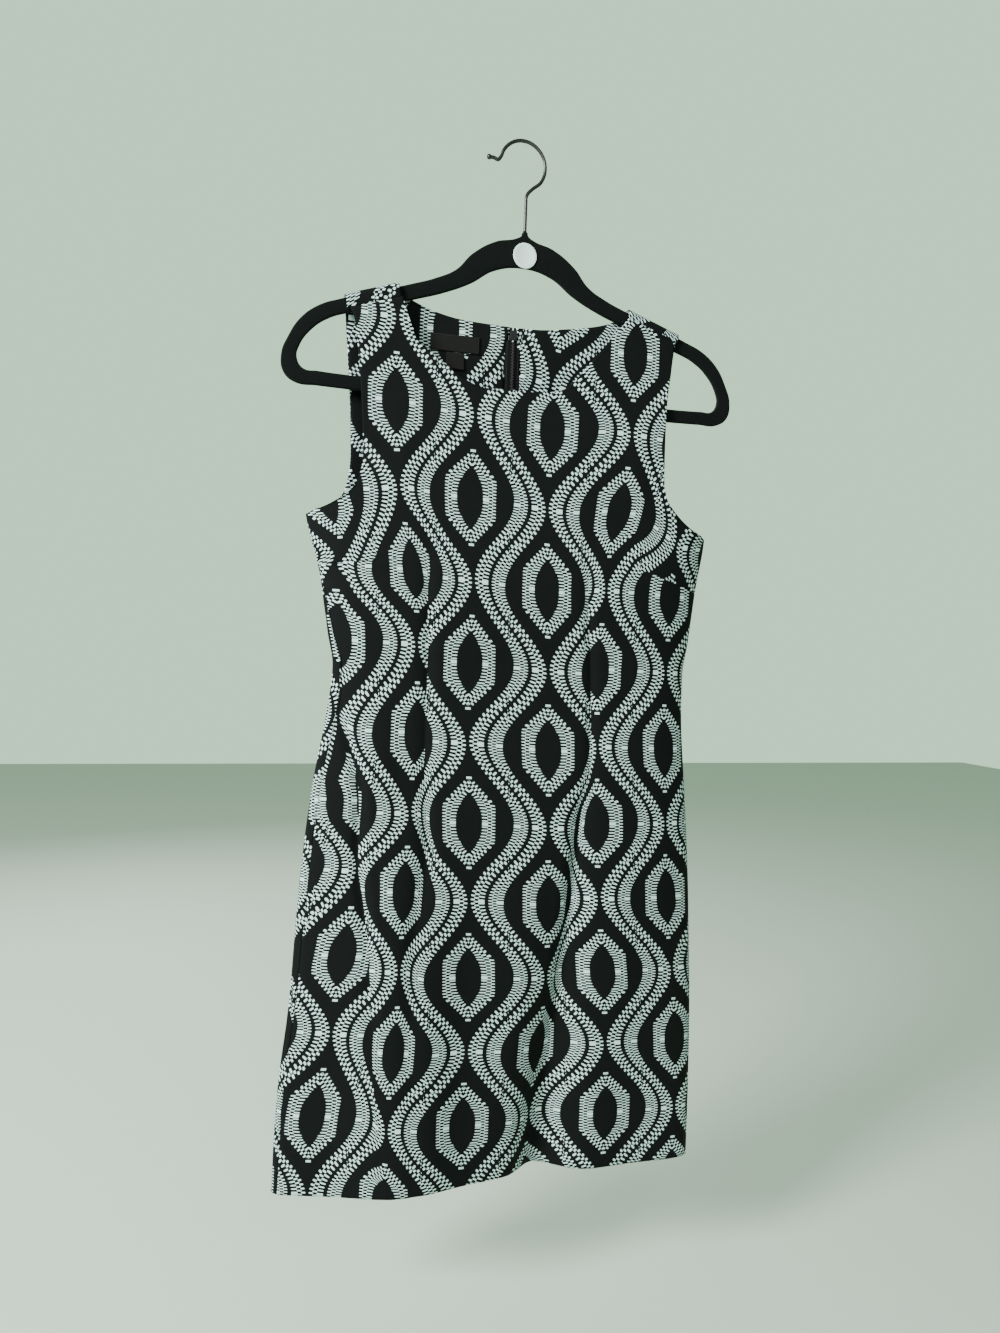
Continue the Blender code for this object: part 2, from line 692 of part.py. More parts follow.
def to_mesh(obj):
    """Turn a curve object into a mesh object with welded caps, at the same place."""
    bpy.context.view_layer.update()
    graph = bpy.context.evaluated_depsgraph_get()
    mesh = bpy.data.meshes.new_from_object(obj.evaluated_get(graph))
    name, mat, collection = obj.name, obj.data.materials[0], obj.users_collection[0]
    place = obj.matrix_world.copy()
    bpy.data.objects.remove(obj, do_unlink=True)
    edit = bmesh.new()
    edit.from_mesh(mesh)
    bmesh.ops.remove_doubles(edit, verts=edit.verts, dist=0.00001)
    edit.to_mesh(mesh)
    edit.free()
    mesh.materials.clear()
    solid = add_object(name, mesh, mat, collection)
    solid.matrix_world = place
    return solid


def both_sides(rows, low_middle, high_middle):
    """An outline from its right half: out along the table and back on the mirrored side."""
    right = list(zip(rows["x"], rows["up"]))
    left = [(-x, up) for x, up in reversed(right)]
    return right + [(0.0, low_middle)] + left + [(0.0, high_middle)]


def stand_upright(obj, x=0.0, y=0.0, drop=0.0):
    """Turn a piece drawn in XY so that its Y is up, and put it in place."""
    obj.rotation_euler = (math.radians(90), 0, 0)
    obj.location = (x * MM, y * MM, -drop * MM)


def build_hanger(collection):
    flock = material("Flocked plastic", FLOCK, 0.95)
    white = material("White disc", DISC_WHITE, 0.45)
    steel = material("Dark nickel wire", GUNMETAL, 0.25, 1.0)
    outer = both_sides(HANGER_OUTER, HANGER_OUTER_MIDDLE, HANGER_OUTER_TOP)
    inner = both_sides(HANGER_INNER, HANGER_INNER_MIDDLE, HANGER_INNER_TOP)
    body = outline("hanger_body", [(outer, True), (inner, True)], HANGER_THICK / 2, flock,
                   collection, HANGER_ROUND)
    stand_upright(body, drop=HANGER_DISC)
    bpy.ops.mesh.primitive_cylinder_add(vertices=40, radius=DISC_RADIUS * MM,
                                        depth=DISC_THICK * MM)
    disc = bpy.context.object
    disc.name = "hanger_disc"
    disc.data.materials.append(white)
    for home in disc.users_collection:
        home.objects.unlink(disc)
    collection.objects.link(disc)
    stand_upright(disc, y=-(HANGER_THICK / 2 + SEAM_GAP + DISC_THICK / 2), drop=HANGER_DISC)
    build_hook(steel, collection)


def hook_route():
    """(x, drop, radius share) along the hook's wire, from its foot to the ball at its tip."""
    foot = HANGER_DISC - HANGER_OUTER_TOP - SEAM_GAP
    places = [(0.0, foot)] + list(STEM_BEND)
    for turn in np.radians(np.linspace(HOOK_FROM, HOOK_TO, 18)):
        places.append((HOOK_CENTRE[0] + HOOK_RADIUS * math.cos(turn),
                       HOOK_CENTRE[1] - HOOK_RADIUS * math.sin(turn)))
    route = [(x, drop, 1.0) for x, drop in places + list(HOOK_TIP)]
    ball = TIP_BALL * WIRE_RADIUS
    x, drop = HOOK_TIP[-1]
    for turn in np.radians((-45, -15, 20, 50, 75, 90)):
        share = max(TIP_BALL * math.cos(turn), 0.12)
        route.append((x - ball * (0.75 + math.sin(turn)), drop, share))
    return route


def build_hook(mat, collection):
    curve = bpy.data.curves.new("hanger_hook", "CURVE")
    curve.dimensions = "3D"
    curve.bevel_depth = WIRE_RADIUS * MM
    curve.bevel_resolution = 2
    curve.use_fill_caps = True
    route = hook_route()
    spline = curve.splines.new("POLY")
    spline.points.add(len(route) - 1)
    for point, (x, drop, share) in zip(spline.points, route):
        point.co = (x * MM, 0, -drop * MM, 1)
        point.radius = share
    add_object("hanger_hook", curve, mat, collection)


# ---------------------------------------------------------------- zip slider and pull

def slider_place():
    """Frame on the dress's outer face at the slider: Y out, Z up along the cloth."""
    top = SLIDER_DROP - 6
    low = SLIDER_DROP + 22
    centre = float(at_drop(SECTIONS, "centre", SLIDER_DROP))
    y_top, y_here, y_low = (float(surface_y(1, centre, d)) for d in (top, SLIDER_DROP, low))
    lean = math.atan2(y_low - y_top, low - top)
    place = Matrix.Translation(Vector((centre, y_here, -SLIDER_DROP)) * MM)
    return place @ Matrix.Rotation(lean, 4, "X")


def build_zip_pull(collection, cutters):
    metal = material("Zip metal", (0.02, 0.02, 0.022), 0.35, 1.0)
    pull_metal = material("Pull tab metal", (0.02, 0.02, 0.022), 0.35, 1.0)
    place = slider_place()
    face = Matrix.Rotation(math.radians(90), 4, "X")

    width, thick, height = SLIDER_BODY
    bpy.ops.mesh.primitive_cube_add(size=1)
    body = bpy.context.object
    body.name = "zip_slider"
    body.data.transform(Matrix.Diagonal((width * MM, thick * MM, height * MM, 1)))
    body.data.materials.append(metal)
    for home in body.users_collection:
        home.objects.unlink(body)
    collection.objects.link(body)
    body.matrix_world = place @ Matrix.Translation(
        (0, -(SLIDER_BODY_FACE + thick / 2) * MM, 0))
    round_off = body.modifiers.new("Round", "BEVEL")
    round_off.width = 0.5 * MM
    round_off.segments = 2

    inner, outer, half = WINDOW
    root = -(SLIDER_BODY_FACE + thick / 2)
    corner = 0.8
    bridge_outline = [(root, -BRIDGE_HALF), (BRIDGE_REACH - corner, -BRIDGE_HALF),
                      (BRIDGE_REACH, corner - BRIDGE_HALF), (BRIDGE_REACH, BRIDGE_HALF - corner),
                      (BRIDGE_REACH - corner, BRIDGE_HALF), (root, BRIDGE_HALF)]
    window = [(inner, -half), (outer, -half), (outer, half), (inner, half)]
    bridge = outline("zip_bridge", [(bridge_outline, False), (window, False)],
                     BRIDGE_THICK / 2, metal, cutters)
    # The outline's X becomes outwards and its Y becomes up, so its thickness is along X.
    upright = Matrix(((0, 0, 1, 0), (1, 0, 0, 0), (0, 1, 0, 0), (0, 0, 0, 1)))
    bridge.matrix_world = place @ upright
    bridge = to_mesh(bridge)
    bridge.hide_render = True
    bridge.display_type = "WIRE"
    union = body.modifiers.new("Bridge", "BOOLEAN")
    union.operation = "UNION"
    union.object = bridge

    plate = [(-2.3, 0.5), (2.3, 0.5), (2.4, -5.0), (3.1, -11.0), (3.5, -17.0), (3.0, -20.5),
             (1.6, -22.4), (-1.6, -22.4), (-3.0, -20.5), (-3.5, -17.0), (-3.1, -11.0),
             (-2.4, -5.0)]
    eye = [(-1.45, -0.5), (1.45, -0.5), (1.45, -4.4), (-1.45, -4.4)]
    tab = outline("zip_pull_tab", [(plate, False), (eye, False)], PULL_THICK / 2, pull_metal,
                  collection)
    tab.matrix_world = place @ Matrix.Translation((0, PULL_AXIS_OUT * MM, 0)) @ face


def main():
    clear_scene()
    collection = new_collection("Shift dress on hanger")
    cutters = new_collection("Joined shapes")
    build_dress(collection)
    build_hanger(collection)
    build_zip_pull(collection, cutters)


main()
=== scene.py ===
import math
from functools import partial, reduce

import bmesh
import bpy
import numpy as np
from mathutils import Matrix, Vector


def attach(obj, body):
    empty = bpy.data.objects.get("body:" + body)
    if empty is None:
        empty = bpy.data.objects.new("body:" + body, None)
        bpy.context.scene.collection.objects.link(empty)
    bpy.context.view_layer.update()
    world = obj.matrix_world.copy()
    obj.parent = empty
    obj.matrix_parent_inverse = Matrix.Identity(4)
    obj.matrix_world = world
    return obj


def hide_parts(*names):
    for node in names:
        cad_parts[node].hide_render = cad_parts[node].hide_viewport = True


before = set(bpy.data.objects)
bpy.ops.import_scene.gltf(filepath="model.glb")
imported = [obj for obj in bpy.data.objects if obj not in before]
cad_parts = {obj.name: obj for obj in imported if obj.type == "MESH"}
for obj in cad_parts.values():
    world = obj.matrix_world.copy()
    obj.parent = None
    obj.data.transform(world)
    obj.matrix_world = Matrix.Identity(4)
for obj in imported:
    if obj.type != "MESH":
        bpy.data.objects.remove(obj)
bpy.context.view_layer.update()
mm = 0.001


def table(columns, *rows):
    return dict(zip(columns.split(), np.array(rows, float).T))


def fold(*rows):
    return table("drop x width rise", *rows)


def strokes(*rows):
    return table("x1 drop1 x2 drop2 width rise", *rows)


def edge(*rows):
    return table("x drop", *rows)


halves = {"left": -1, "right": 1}

# Shape of the hanging dress in millimetres. "drop" is a length down from the crown of the
# hook, x is to the right of someone facing the front, and y is towards the back.
dress = {
    "underarm": 351.0,
    "hem": 1003.6,
    "seamGap": 0.16,
    "seamRoll": 0.45,         # how far the edges of a seam turn inwards
    "seamTurn": 1.3,          # width of that turn
    "hangerDisc": 100.6,
    "armStartX": 106.0,
    "armStart": 138.6,
    "armSlope": 0.325,
    "strapRadius": 6.4,
    "strapRise": 3.7,
    "strapFrom": (80, 110),     # how far out the cloth starts to follow the straps
    "strapBlend": 45,
    "creaseFade": (0.86, 0.985),
    "seamBelowRidge": {"left": 14.0, "right": 9.5},
    "sections": table(
        "drop halfWidth centre frontDepth backDepth squareness twist lead",
        (120, 201, -5, 6, 7.5, 12, 0, 0),
        (163, 201, -6, 6.5, 9, 12, 0, 0),
        (190, 201, -5.5, 7.5, 9.8, 10, 0, 0),
        (226, 201, -5, 9.5, 11, 7, 0, 0),
        (291, 201, -1.5, 15, 14, 5, 0.002, 0),
        (351, 200.2, 1.7, 20, 18, 4.5, 0.004, 0),
        (401, 190.3, 4.5, 25, 20, 4, 0.006, 3),
        (456, 183, 6, 23, 21, 4.2, 0.009, 8),
        (488, 178.3, 6.5, 20, 21, 4.5, 0.011, 11),
        (539, 182, 4.2, 21, 23, 4.5, 0.014, 12),
        (596, 190, 2, 24, 25, 4.2, 0.017, 12),
        (681, 199.2, 1.2, 25, 27, 4, 0.023, 12),
        (796, 207.3, 1.2, 22, 29, 4, 0.031, 10),
        (901, 215, -2, 18, 31, 4.2, 0.039, 8),
        (1003.6, 218.5, -3.5, 16, 32, 4.5, 0.045, 8)),
}

# Folds and darts: the line each follows, its half-width and how far it stands out.
frontFolds = {
    "leftTuck": fold(
        (351, -152, 9, 0), (450, -164, 9, 0), (519, -165, 8, -1.5), (556, -157, 7, -4),
        (593, -148.5, 6, -5.5), (640, -146.2, 6, -6), (680, -146, 6, -6),
        (708, -141.6, 6, -5.5), (766, -135, 7, -4), (854, -130.5, 9, -1.5), (930, -126, 12, 0),
        (1003.6, -121, 12, 0)),
    "leftDart": fold(
        (351, -88, 6, 0), (400, -88, 6, -1.6), (488, -85, 6, -2.4), (560, -86, 6, -1.8),
        (620, -85, 7, -2), (660, -81, 8, -2.6), (700, -86, 9, -2.8), (780, -94, 10, -3),
        (860, -94, 10, -2.2), (930, -91, 10, -1.8), (1003.6, -88, 10, -1.2)),
    "tuckLip": fold(
        (519, -158, 5, 0), (556, -150, 5, 1.8), (593, -141.5, 5, 2.6), (680, -139, 5, 2.8),
        (708, -134.6, 5, 2.4), (766, -128, 6, 1.8), (854, -122, 8, 0.6), (930, -118, 10, 0)),
    "valleyCrease": fold(
        (600, 74, 4, 0), (635, 72, 4.5, -2.6), (716, 67.5, 5, -3.4), (797, 60, 5.5, -3.6),
        (880, 54, 7, -3), (945, 48, 9, -2.6), (1003.6, 45, 10, -2)),
    "valleyLip": fold(
        (600, 60, 8, 0), (660, 57, 8, 1.6), (760, 50, 9, 2.6), (860, 40, 11, 3),
        (945, 22, 12, 2.6), (1003.6, 18, 12, 2)),
    "rightValley": fold(
        (351, 70, 6, 0), (401, 70, 6, -1.6), (488, 78, 6, -2.4), (573, 81, 7, -2.2),
        (635, 72, 14, -4.5), (797, 60, 22, -13), (880, 52, 27, -19), (1003.6, 48, 30, -26)),
    "leftRoll": fold(
        (480, -140, 18, 0), (600, -130, 18, 4), (700, -120, 20, 4), (850, -112, 24, 0),
        (1003.6, -108, 24, 0)),
    "leftSwell": fold((600, -95, 50, 0), (800, -98, 58, 9), (1003.6, -100, 62, 20)),
    "rightSwell": fold((650, 140, 38, 0), (800, 146, 42, -2), (1003.6, 152, 45, -5)),
}
backFolds = {
    "leftBackDart": fold(
        (351, -76, 6, 0), (430, -74, 6, -1.8), (495, -72, 6, -2.4), (600, -72, 9, -1),
        (760, -70, 20, -5), (1003.6, -66, 30, -10)),
    "rightBackDart": fold(
        (351, 80, 6, 0), (430, 82, 6, -1.8), (495, 82, 6, -2.4), (600, 80, 9, -1),
        (760, 78, 22, -6), (1003.6, 80, 34, -12)),
}

# Soft creases that the solids leave out, as short strokes: where each runs from and to,
# its half-width and its height. A negative height is a trough.
frontCreases = strokes(
    (-186, 372, -120, 398, 7, 1.4), (-178, 396, -132, 420, 6, -1.2),
    (184, 392, 122, 384, 8, 1.6), (178, 428, 118, 404, 7, -1.3), (-100, 470, -20, 482, 7, 0.9),
    (-60, 505, 40, 497, 10, -0.8), (96, 470, 150, 486, 7, 1.1), (100, 512, 158, 500, 8, -1),
    (-168, 455, -118, 486, 7, 1.2), (-166, 520, -112, 500, 7, -1.1),
    (-82, 604, -84, 700, 5, -1), (-100, 612, -104, 720, 9, 1), (10, 640, 14, 990, 24, 1.6),
    (-40, 700, -44, 1003, 20, -1.4), (118, 650, 126, 900, 14, 1.3),
    (176, 560, 186, 800, 12, -1.2), (-160, 840, -172, 1003, 16, -1.6),
    (-30, 236, 20, 240, 16, 0.8), (-120, 236, -108, 330, 12, 0.9),
    (128, 240, 112, 330, 12, 0.9), (-60, 300, 60, 306, 22, -0.8))
backCreases = strokes(
    (186, 380, 124, 402, 8, 1.2), (-184, 376, -126, 396, 7, -1), (-120, 470, -40, 482, 9, 1),
    (30, 486, 118, 474, 9, 1), (-60, 512, 50, 506, 12, -0.9), (-160, 486, -108, 500, 8, -1),
    (112, 500, 162, 488, 8, 1.1), (-24, 640, -30, 1003, 22, 1.5),
    (30, 660, 28, 1003, 20, -1.3), (130, 640, 142, 960, 20, 1.5),
    (-128, 650, -140, 980, 18, 1.4), (-172, 600, -186, 880, 14, -1.2),
    (176, 620, 190, 900, 14, -1.1), (-70, 250, 60, 256, 20, 0.7),
    (-130, 230, -112, 330, 12, 0.8), (132, 236, 114, 330, 12, 0.8))

# Edges above the underarms, from the centre or the underarm up.
edges = {
    "frontNeck": {
        "left": edge(
            (-4, 224.8), (-33, 225.6), (-50, 222), (-72, 209.5), (-91, 195.5), (-101.5, 188.5),
            (-108.5, 171), (-115, 153.5)),
        "right": edge(
            (-4, 224.8), (20, 224.4), (41, 219.5), (54.5, 208), (66, 194), (78.5, 179),
            (94, 161), (106.5, 147)),
    },
    "backNeck": {
        "left": edge(
            (-6, 163.4), (-37, 162.8), (-61, 161.6), (-83, 157.6), (-97, 153.6), (-108, 149.5)),
        "right": edge(
            (-6, 163.4), (22, 162.4), (47, 158.8), (71, 154.4), (86, 150.5), (97, 146.5)),
    },
    "frontArmhole": {
        "left": edge(
            (-198.5, 351), (-178, 341.5), (-160.5, 329), (-152.5, 315), (-149.2, 291),
            (-152.5, 226), (-155.5, 196), (-158.5, 176), (-162.5, 166)),
        "right": edge(
            (201.9, 351), (178.5, 341), (160, 326), (151.5, 312), (148.7, 288), (150, 226),
            (153, 196), (155, 176), (156.8, 164)),
    },
    "backArmhole": {
        "left": edge(
            (-198.5, 351), (-177, 342), (-163.5, 328), (-158.5, 308), (-157.5, 285),
            (-159.5, 240), (-162.5, 200), (-165, 170)),
        "right": edge(
            (201.9, 351), (177.5, 342), (163, 328), (157, 308), (155.5, 285), (156.5, 240),
            (157.5, 200), (158.5, 166)),
    },
    "strapInner": {
        "left": edge(
            (-108, 149.5), (-114, 145), (-118, 139.5), (-119, 135), (-118, 128), (-116, 119)),
        "right": edge(
            (97, 146.5), (102.5, 142.3), (106.5, 136.5), (107.8, 132), (107.5, 126),
            (107, 119)),
    },
    "strapOuter": {
        "left": edge((-165, 170), (-166.3, 160), (-166.7, 152), (-166, 143), (-165, 135)),
        "right": edge((158.5, 166), (160, 157), (160.7, 149), (160.2, 141), (158.5, 135)),
    },
    "facing": {
        "left": edge((-12, 251), (-60, 256), (-106, 280), (-142, 314), (-168.5, 334)),
        "right": edge((4, 251), (60, 256), (106, 280), (142, 314), (168.5, 334)),
    },
}


# Curves through tables.

def smoothValue(xs, ys, x):
    xs = np.asarray(xs, float)
    ys = np.asarray(ys, float)
    x = np.clip(x, xs[0], xs[-1])
    rise = np.diff(ys) / np.diff(xs)
    slope = np.concatenate([rise[:1], (rise[:-1] + rise[1:]) / 2, rise[-1:]])
    turning = np.concatenate([[False], rise[:-1] * rise[1:] <= 0, [False]])
    slope[turning] = 0.0
    i = np.clip(np.searchsorted(xs, x, side="right") - 1, 0, len(xs) - 2)
    step = xs[i + 1] - xs[i]
    t = (x - xs[i]) / step
    start = ys[i] * (1 + 2 * t) * (1 - t) ** 2 + slope[i] * step * t * (1 - t) ** 2
    end = ys[i + 1] * t * t * (3 - 2 * t) - slope[i + 1] * step * t * t * (1 - t)
    return start + end


def atDrop(rows, name, drop):
    return smoothValue(rows["drop"], rows[name], drop)


def section(name, drop):
    return atDrop(dress["sections"], name, drop)


def lineX(name, drop):
    folds = frontFolds if name in frontFolds else backFolds
    return atDrop(folds[name], "x", drop)


def smoothStep(low, high, value):
    t = np.clip((value - low) / (high - low), 0.0, 1.0)
    return t * t * (3 - 2 * t)


def lengthAlong(xs, ys):
    return np.concatenate([[0], np.cumsum(np.hypot(np.diff(xs), np.diff(ys)))])


def edgeCurve(rows, shares):
    count = len(rows["x"])
    fine = np.linspace(0, count - 1, 24 * count)
    xs, drops = (smoothValue(np.arange(count), rows[name], fine) for name in ("x", "drop"))
    length = lengthAlong(xs, drops)
    at = np.asarray(shares) * length[-1]
    return np.stack([np.interp(at, length, xs), np.interp(at, length, drops)], axis=1)


def bell(away):
    return np.exp(-away * away)


# The dress's surface.

def ridgeDrop(x):
    return (dress["armStart"] + dress["armSlope"] * (abs(x) - dress["armStartX"])
            - dress["strapRise"])


def foldRise(folds, x, drop):
    total = 0.0
    for rows in folds.values():
        away = (x - atDrop(rows, "x", drop)) / atDrop(rows, "width", drop)
        total = total + atDrop(rows, "rise", drop) * bell(away)
    return total


def creaseRise(creases, x, drop):
    total = np.zeros_like(x)
    for x1, drop1, x2, drop2, width, rise in zip(*creases.values()):
        wide, high = x2 - x1, drop2 - drop1
        along = ((x - x1) * wide + (drop - drop1) * high) / (wide ** 2 + high ** 2)
        at = np.clip(along, 0, 1)
        away = np.hypot(x - x1 - at * wide, drop - drop1 - at * high)
        ends = smoothStep(-0.05, 0.3, along) * (1 - smoothStep(0.7, 1.05, along))
        total = total + rise * ends * bell(away / width)
    return total


seams = {
    "dartFrom": 388.0,        # fisheye darts
    "dartTo": 603.0,
    "dartDepth": 0.9,
    "dartWidth": 1.5,
    "hemFold": 968.0,         # where the turned-up hem is caught
    "hemDepth": 0.35,
    "hemWidth": 3.0,
}


def seamRise(side, x, drop):
    names = ("leftDart", "rightValley") if side < 0 else ("leftBackDart", "rightBackDart")
    sewn = smoothStep(seams["dartFrom"], seams["dartFrom"] + 25, drop)
    sewn = sewn * (1 - smoothStep(seams["dartTo"] - 20, seams["dartTo"], drop))
    total = 0.0
    for name in names:
        away = (x - lineX(name, drop)) / seams["dartWidth"]
        total = total - seams["dartDepth"] * sewn * bell(away)
    return total - seams["hemDepth"] * bell((drop - seams["hemFold"]) / seams["hemWidth"])


def surfaceY(side, x, drop, detail=True):
    centre = section("centre", drop)
    across = np.clip(np.abs(x - centre) / section("halfWidth", drop), 0, 1)
    roundness = np.sqrt(1 - across ** section("squareness", drop))
    depth = section("frontDepth" if side < 0 else "backDepth", drop)
    depth = depth + foldRise(frontFolds if side < 0 else backFolds, x, drop)
    hanging = side * roundness * depth - section("twist", drop) * (x - centre)
    if detail:
        creases = frontCreases if side < 0 else backCreases
        inside = 1 - smoothStep(*dress["creaseFade"], across)
        fine = creaseRise(creases, x, drop) + seamRise(side, x, drop)
        hanging = hanging + side * inside * fine
    strapEnd = ridgeDrop(x) + dress["strapRadius"]
    free = smoothStep(strapEnd, strapEnd + dress["strapBlend"], drop)
    onStrap = smoothStep(*dress["strapFrom"], np.abs(x)) * (1 - free)
    return hanging * (1 - onStrap) + side * dress["strapRadius"] * onStrap


def lift(side, flat):
    x, drop = np.moveaxis(np.asarray(flat, float), -1, 0)
    radius = dress["strapRadius"]
    ridge = ridgeDrop(x)
    quarter = math.pi / 2 * radius
    past = drop - ridge - radius + quarter
    turn = np.clip(past, -quarter, quarter) / radius
    beyond = np.maximum(-past - quarter, 0.0)
    bentDrop = ridge + radius * (1 - np.cos(turn)) + beyond
    free = (np.abs(x) < dress["strapFrom"][0]) | (past >= quarter)
    y = np.where(free, surfaceY(side, x, drop), side * radius * np.sin(turn))
    return np.stack([x, y, -np.where(free, drop, bentDrop)], axis=-1)


# Rows of cloth points.

def sectionSide(side, drop, toward):
    even = np.linspace(-1, 1, 241)
    ends = np.sin(np.linspace(0, math.pi / 2, 60)) ** (2 / section("squareness", drop))
    across = np.unique(np.concatenate([even, ends, -ends]))
    xs = section("centre", drop) + toward * section("halfWidth", drop) * across
    return xs, lengthAlong(xs, surfaceY(side, xs, np.full_like(xs, drop), detail=False))


def stretch(count, lowEnd=0.022, highEnd=0.022):
    # Shares of the way from one line to the next, close together beside both lines.
    return np.concatenate([[0, lowEnd], np.linspace(0.05, 0.95, count), [1 - highEnd, 1]])


frontStretches = (stretch(20), stretch(18), stretch(28), stretch(30),
                  stretch(40, 0.012, 0.012))
backStretches = (np.array([0, 0.2, 0.6, 1]), stretch(20), stretch(32, 0.012, 0.012))


def spread(anchors, stretches):
    places = [anchors[:1]]
    for start, end, shares in zip(anchors, anchors[1:], stretches):
        places.append(start + (end - start) * shares[1:])
    return np.concatenate(places)


def turnIn(places):
    # The second and last-but-one points stand where the cloth starts to turn into a seam.
    places[1] = places[0] + dress["seamTurn"]
    places[-2] = places[-1] - dress["seamTurn"]
    return places


zipper = {
    "sliderDrop": 171.0,
    "sliderOpen": 1.0,
    "closed": 188.0,
    "tapeWidth": 7.6,
    "tapeEnd": 660.0,
    "tapeApart": 0.15,
    "facingGap": 0.2,
    "teethDrops": (177.0, 656.0),
    "teethInward": 2.75,
    "stitchAway": 5.4,
    "stitchInward": 2.3,
    "tooth": {"pitch": 1.35, "length": 0.8, "width": 2.6, "height": 1.0, "sway": 0.45},
    "stitch": {"pitch": 2.6, "length": 1.8, "width": 0.3, "height": 0.3},
}


def seamOpening(drop):
    closing = smoothStep(zipper["sliderDrop"] + 6.5, zipper["closed"], drop)
    return zipper["sliderOpen"] + (dress["seamGap"] / 2 - zipper["sliderOpen"]) * closing


def frontRow(drop):
    xs, length = sectionSide(-1, drop, 1)
    half = dress["seamGap"] / 2
    marks = [lineX("leftTuck", drop), lineX("leftDart", drop), section("centre", drop),
             lineX("rightValley", drop)]
    marks = np.interp(marks, xs, length)
    anchors = np.array([section("lead", drop) + half, *marks, length[-1] - half])
    return np.interp(turnIn(spread(anchors, frontStretches)), length, xs)


def backRow(half, drop):
    toward = halves[half]
    centre = section("centre", drop)
    xs, length = sectionSide(1, drop, toward)
    marks = [centre + toward * seamOpening(drop), centre + toward * zipper["tapeWidth"],
             lineX(half + "BackDart", drop)]
    order = np.argsort(xs)
    arcs = np.interp(marks, xs[order], length[order])
    lead = section("lead", drop) if half == "left" else 0.0
    anchors = np.array([*arcs, length[-1] + lead - dress["seamGap"] / 2])
    places = turnIn(spread(anchors, backStretches))
    frontXs, frontLength = sectionSide(-1, drop, 1)
    past = places > length[-1]      # round the side seam, on the front
    x = np.where(past, np.interp(places - length[-1], frontLength, frontXs),
                 np.interp(places, length, xs))
    return np.where(past, -1, 1), x


def coons(bottom, top, inner, outer, shares):
    along = np.asarray(shares)[:, None, None]
    across = np.linspace(0, 1, len(bottom))[None, :, None]
    ruled = (1 - along) * bottom[None] + along * top[None]
    ruled = ruled + (1 - across) * inner[:, None] + across * outer[:, None]
    corners = (1 - along) * ((1 - across) * bottom[0] + across * bottom[-1])
    corners = corners + along * ((1 - across) * top[0] + across * top[-1])
    return ruled - corners


rowCounts = {"skirt": 150, "yoke": 46, "strap": 30}
facingColumns = 56
# The share of each top edge's columns that the strap takes.
strapShares = {"frontLeft": 0.28, "frontRight": 0.36, "back": 0.38, "facing": 0.4}


def skirtDrops():
    return np.linspace(dress["hem"], dress["underarm"], rowCounts["skirt"] + 1)


def rowBetween(start, end, count):
    return start + np.linspace(0, 1, count)[:, None] * (end - start)


def toSeam(name, half, side):
    # One of the edges, with its last point moved up or down to the shoulder's seam.
    rows = edges[name][half]
    ridge, below = ridgeDrop(rows["x"][-1]), dress["seamBelowRidge"][half]
    end = (ridge + below + dress["seamGap"] if side < 0
           else ridge - below - (math.pi - 2) * dress["strapRadius"])
    return {"x": rows["x"], "drop": np.concatenate([rows["drop"][:-1], [end]])}


def yokeFlat(neck, armhole, bottom, strapColumns):
    shares = np.linspace(0, 1, rowCounts["yoke"] + 1)
    outer = edgeCurve(armhole, shares)
    outer[0] = bottom[-1]
    neckShares = np.linspace(0, 1, len(bottom) - strapColumns)
    top = edgeCurve(neck, neckShares)
    top = np.concatenate([top, rowBetween(top[-1], outer[-1], strapColumns + 1)[1:]])
    return coons(bottom, top, rowBetween(bottom[0], top[0], len(shares)), outer, shares)


def frontYoke(half, bottom):
    strapColumns = round((len(bottom) - 1) * strapShares["front" + half.title()])
    return yokeFlat(toSeam("frontNeck", half, -1), toSeam("frontArmhole", half, -1), bottom,
                    strapColumns)


def frontFlat():
    skirt = np.array([[(x, drop) for x in frontRow(drop)] for drop in skirtDrops()])
    centre = sum(len(shares) - 1 for shares in frontStretches[:3])
    bottom = skirt[-1]
    left = frontYoke("left", bottom[centre::-1])[:, ::-1]
    right = frontYoke("right", bottom[centre:])
    yoke = np.concatenate([left, right[:, 1:]], axis=1)
    return np.concatenate([skirt, yoke[1:]])


def backSkirt(half):
    # Returns points in space, and the same points flat as (x, drop).
    points, flat = [], []
    for drop in skirtDrops():
        side, x = backRow(half, drop)
        row = np.stack([x, np.full_like(x, drop)], axis=1)
        points.append(np.where(side[:, None] > 0, lift(1, row), lift(-1, row)))
        flat.append(row)
    return np.array(points), np.array(flat)


def yokeAndStrap(half, bottom, armhole, setColumns, strapShare):
    columns = len(bottom) - 1
    strapColumns = round(columns * strapShare)
    flat = yokeFlat(edges["backNeck"][half], armhole, bottom, strapColumns)
    centre = section("centre", flat[:, 0, 1])
    for column, away in setColumns:
        flat[:, column, 0] = centre + halves[half] * away(flat[:, 0, 1])
    shares = np.linspace(0, 1, rowCounts["strap"] + 1)
    inner, outer = (edgeCurve(toSeam(name, half, 1), shares)
                    for name in ("strapInner", "strapOuter"))
    rows = [rowBetween(a, b, strapColumns + 1) for a, b in zip(inner, outer)]
    strap = np.full((rowCounts["strap"], columns + 1, 2), np.nan)
    strap[:, columns - strapColumns:] = rows[1:]
    return np.concatenate([flat, strap])


def facingFlat(half):
    bottom = edgeCurve(edges["facing"][half], np.linspace(0, 1, facingColumns + 1))
    armhole = {name: np.concatenate([[corner], edges["backArmhole"][half][name][2:]])
               for name, corner in zip(("x", "drop"), bottom[-1])}
    upright = ((0, lambda drop: zipper["tapeWidth"] + zipper["facingGap"]),)
    return yokeAndStrap(half, bottom, armhole, upright, strapShares["facing"])


# Thin cloth through a grid of points.

def unit(vectors):
    return vectors / np.maximum(np.linalg.norm(vectors, axis=-1, keepdims=True), 1e-9)


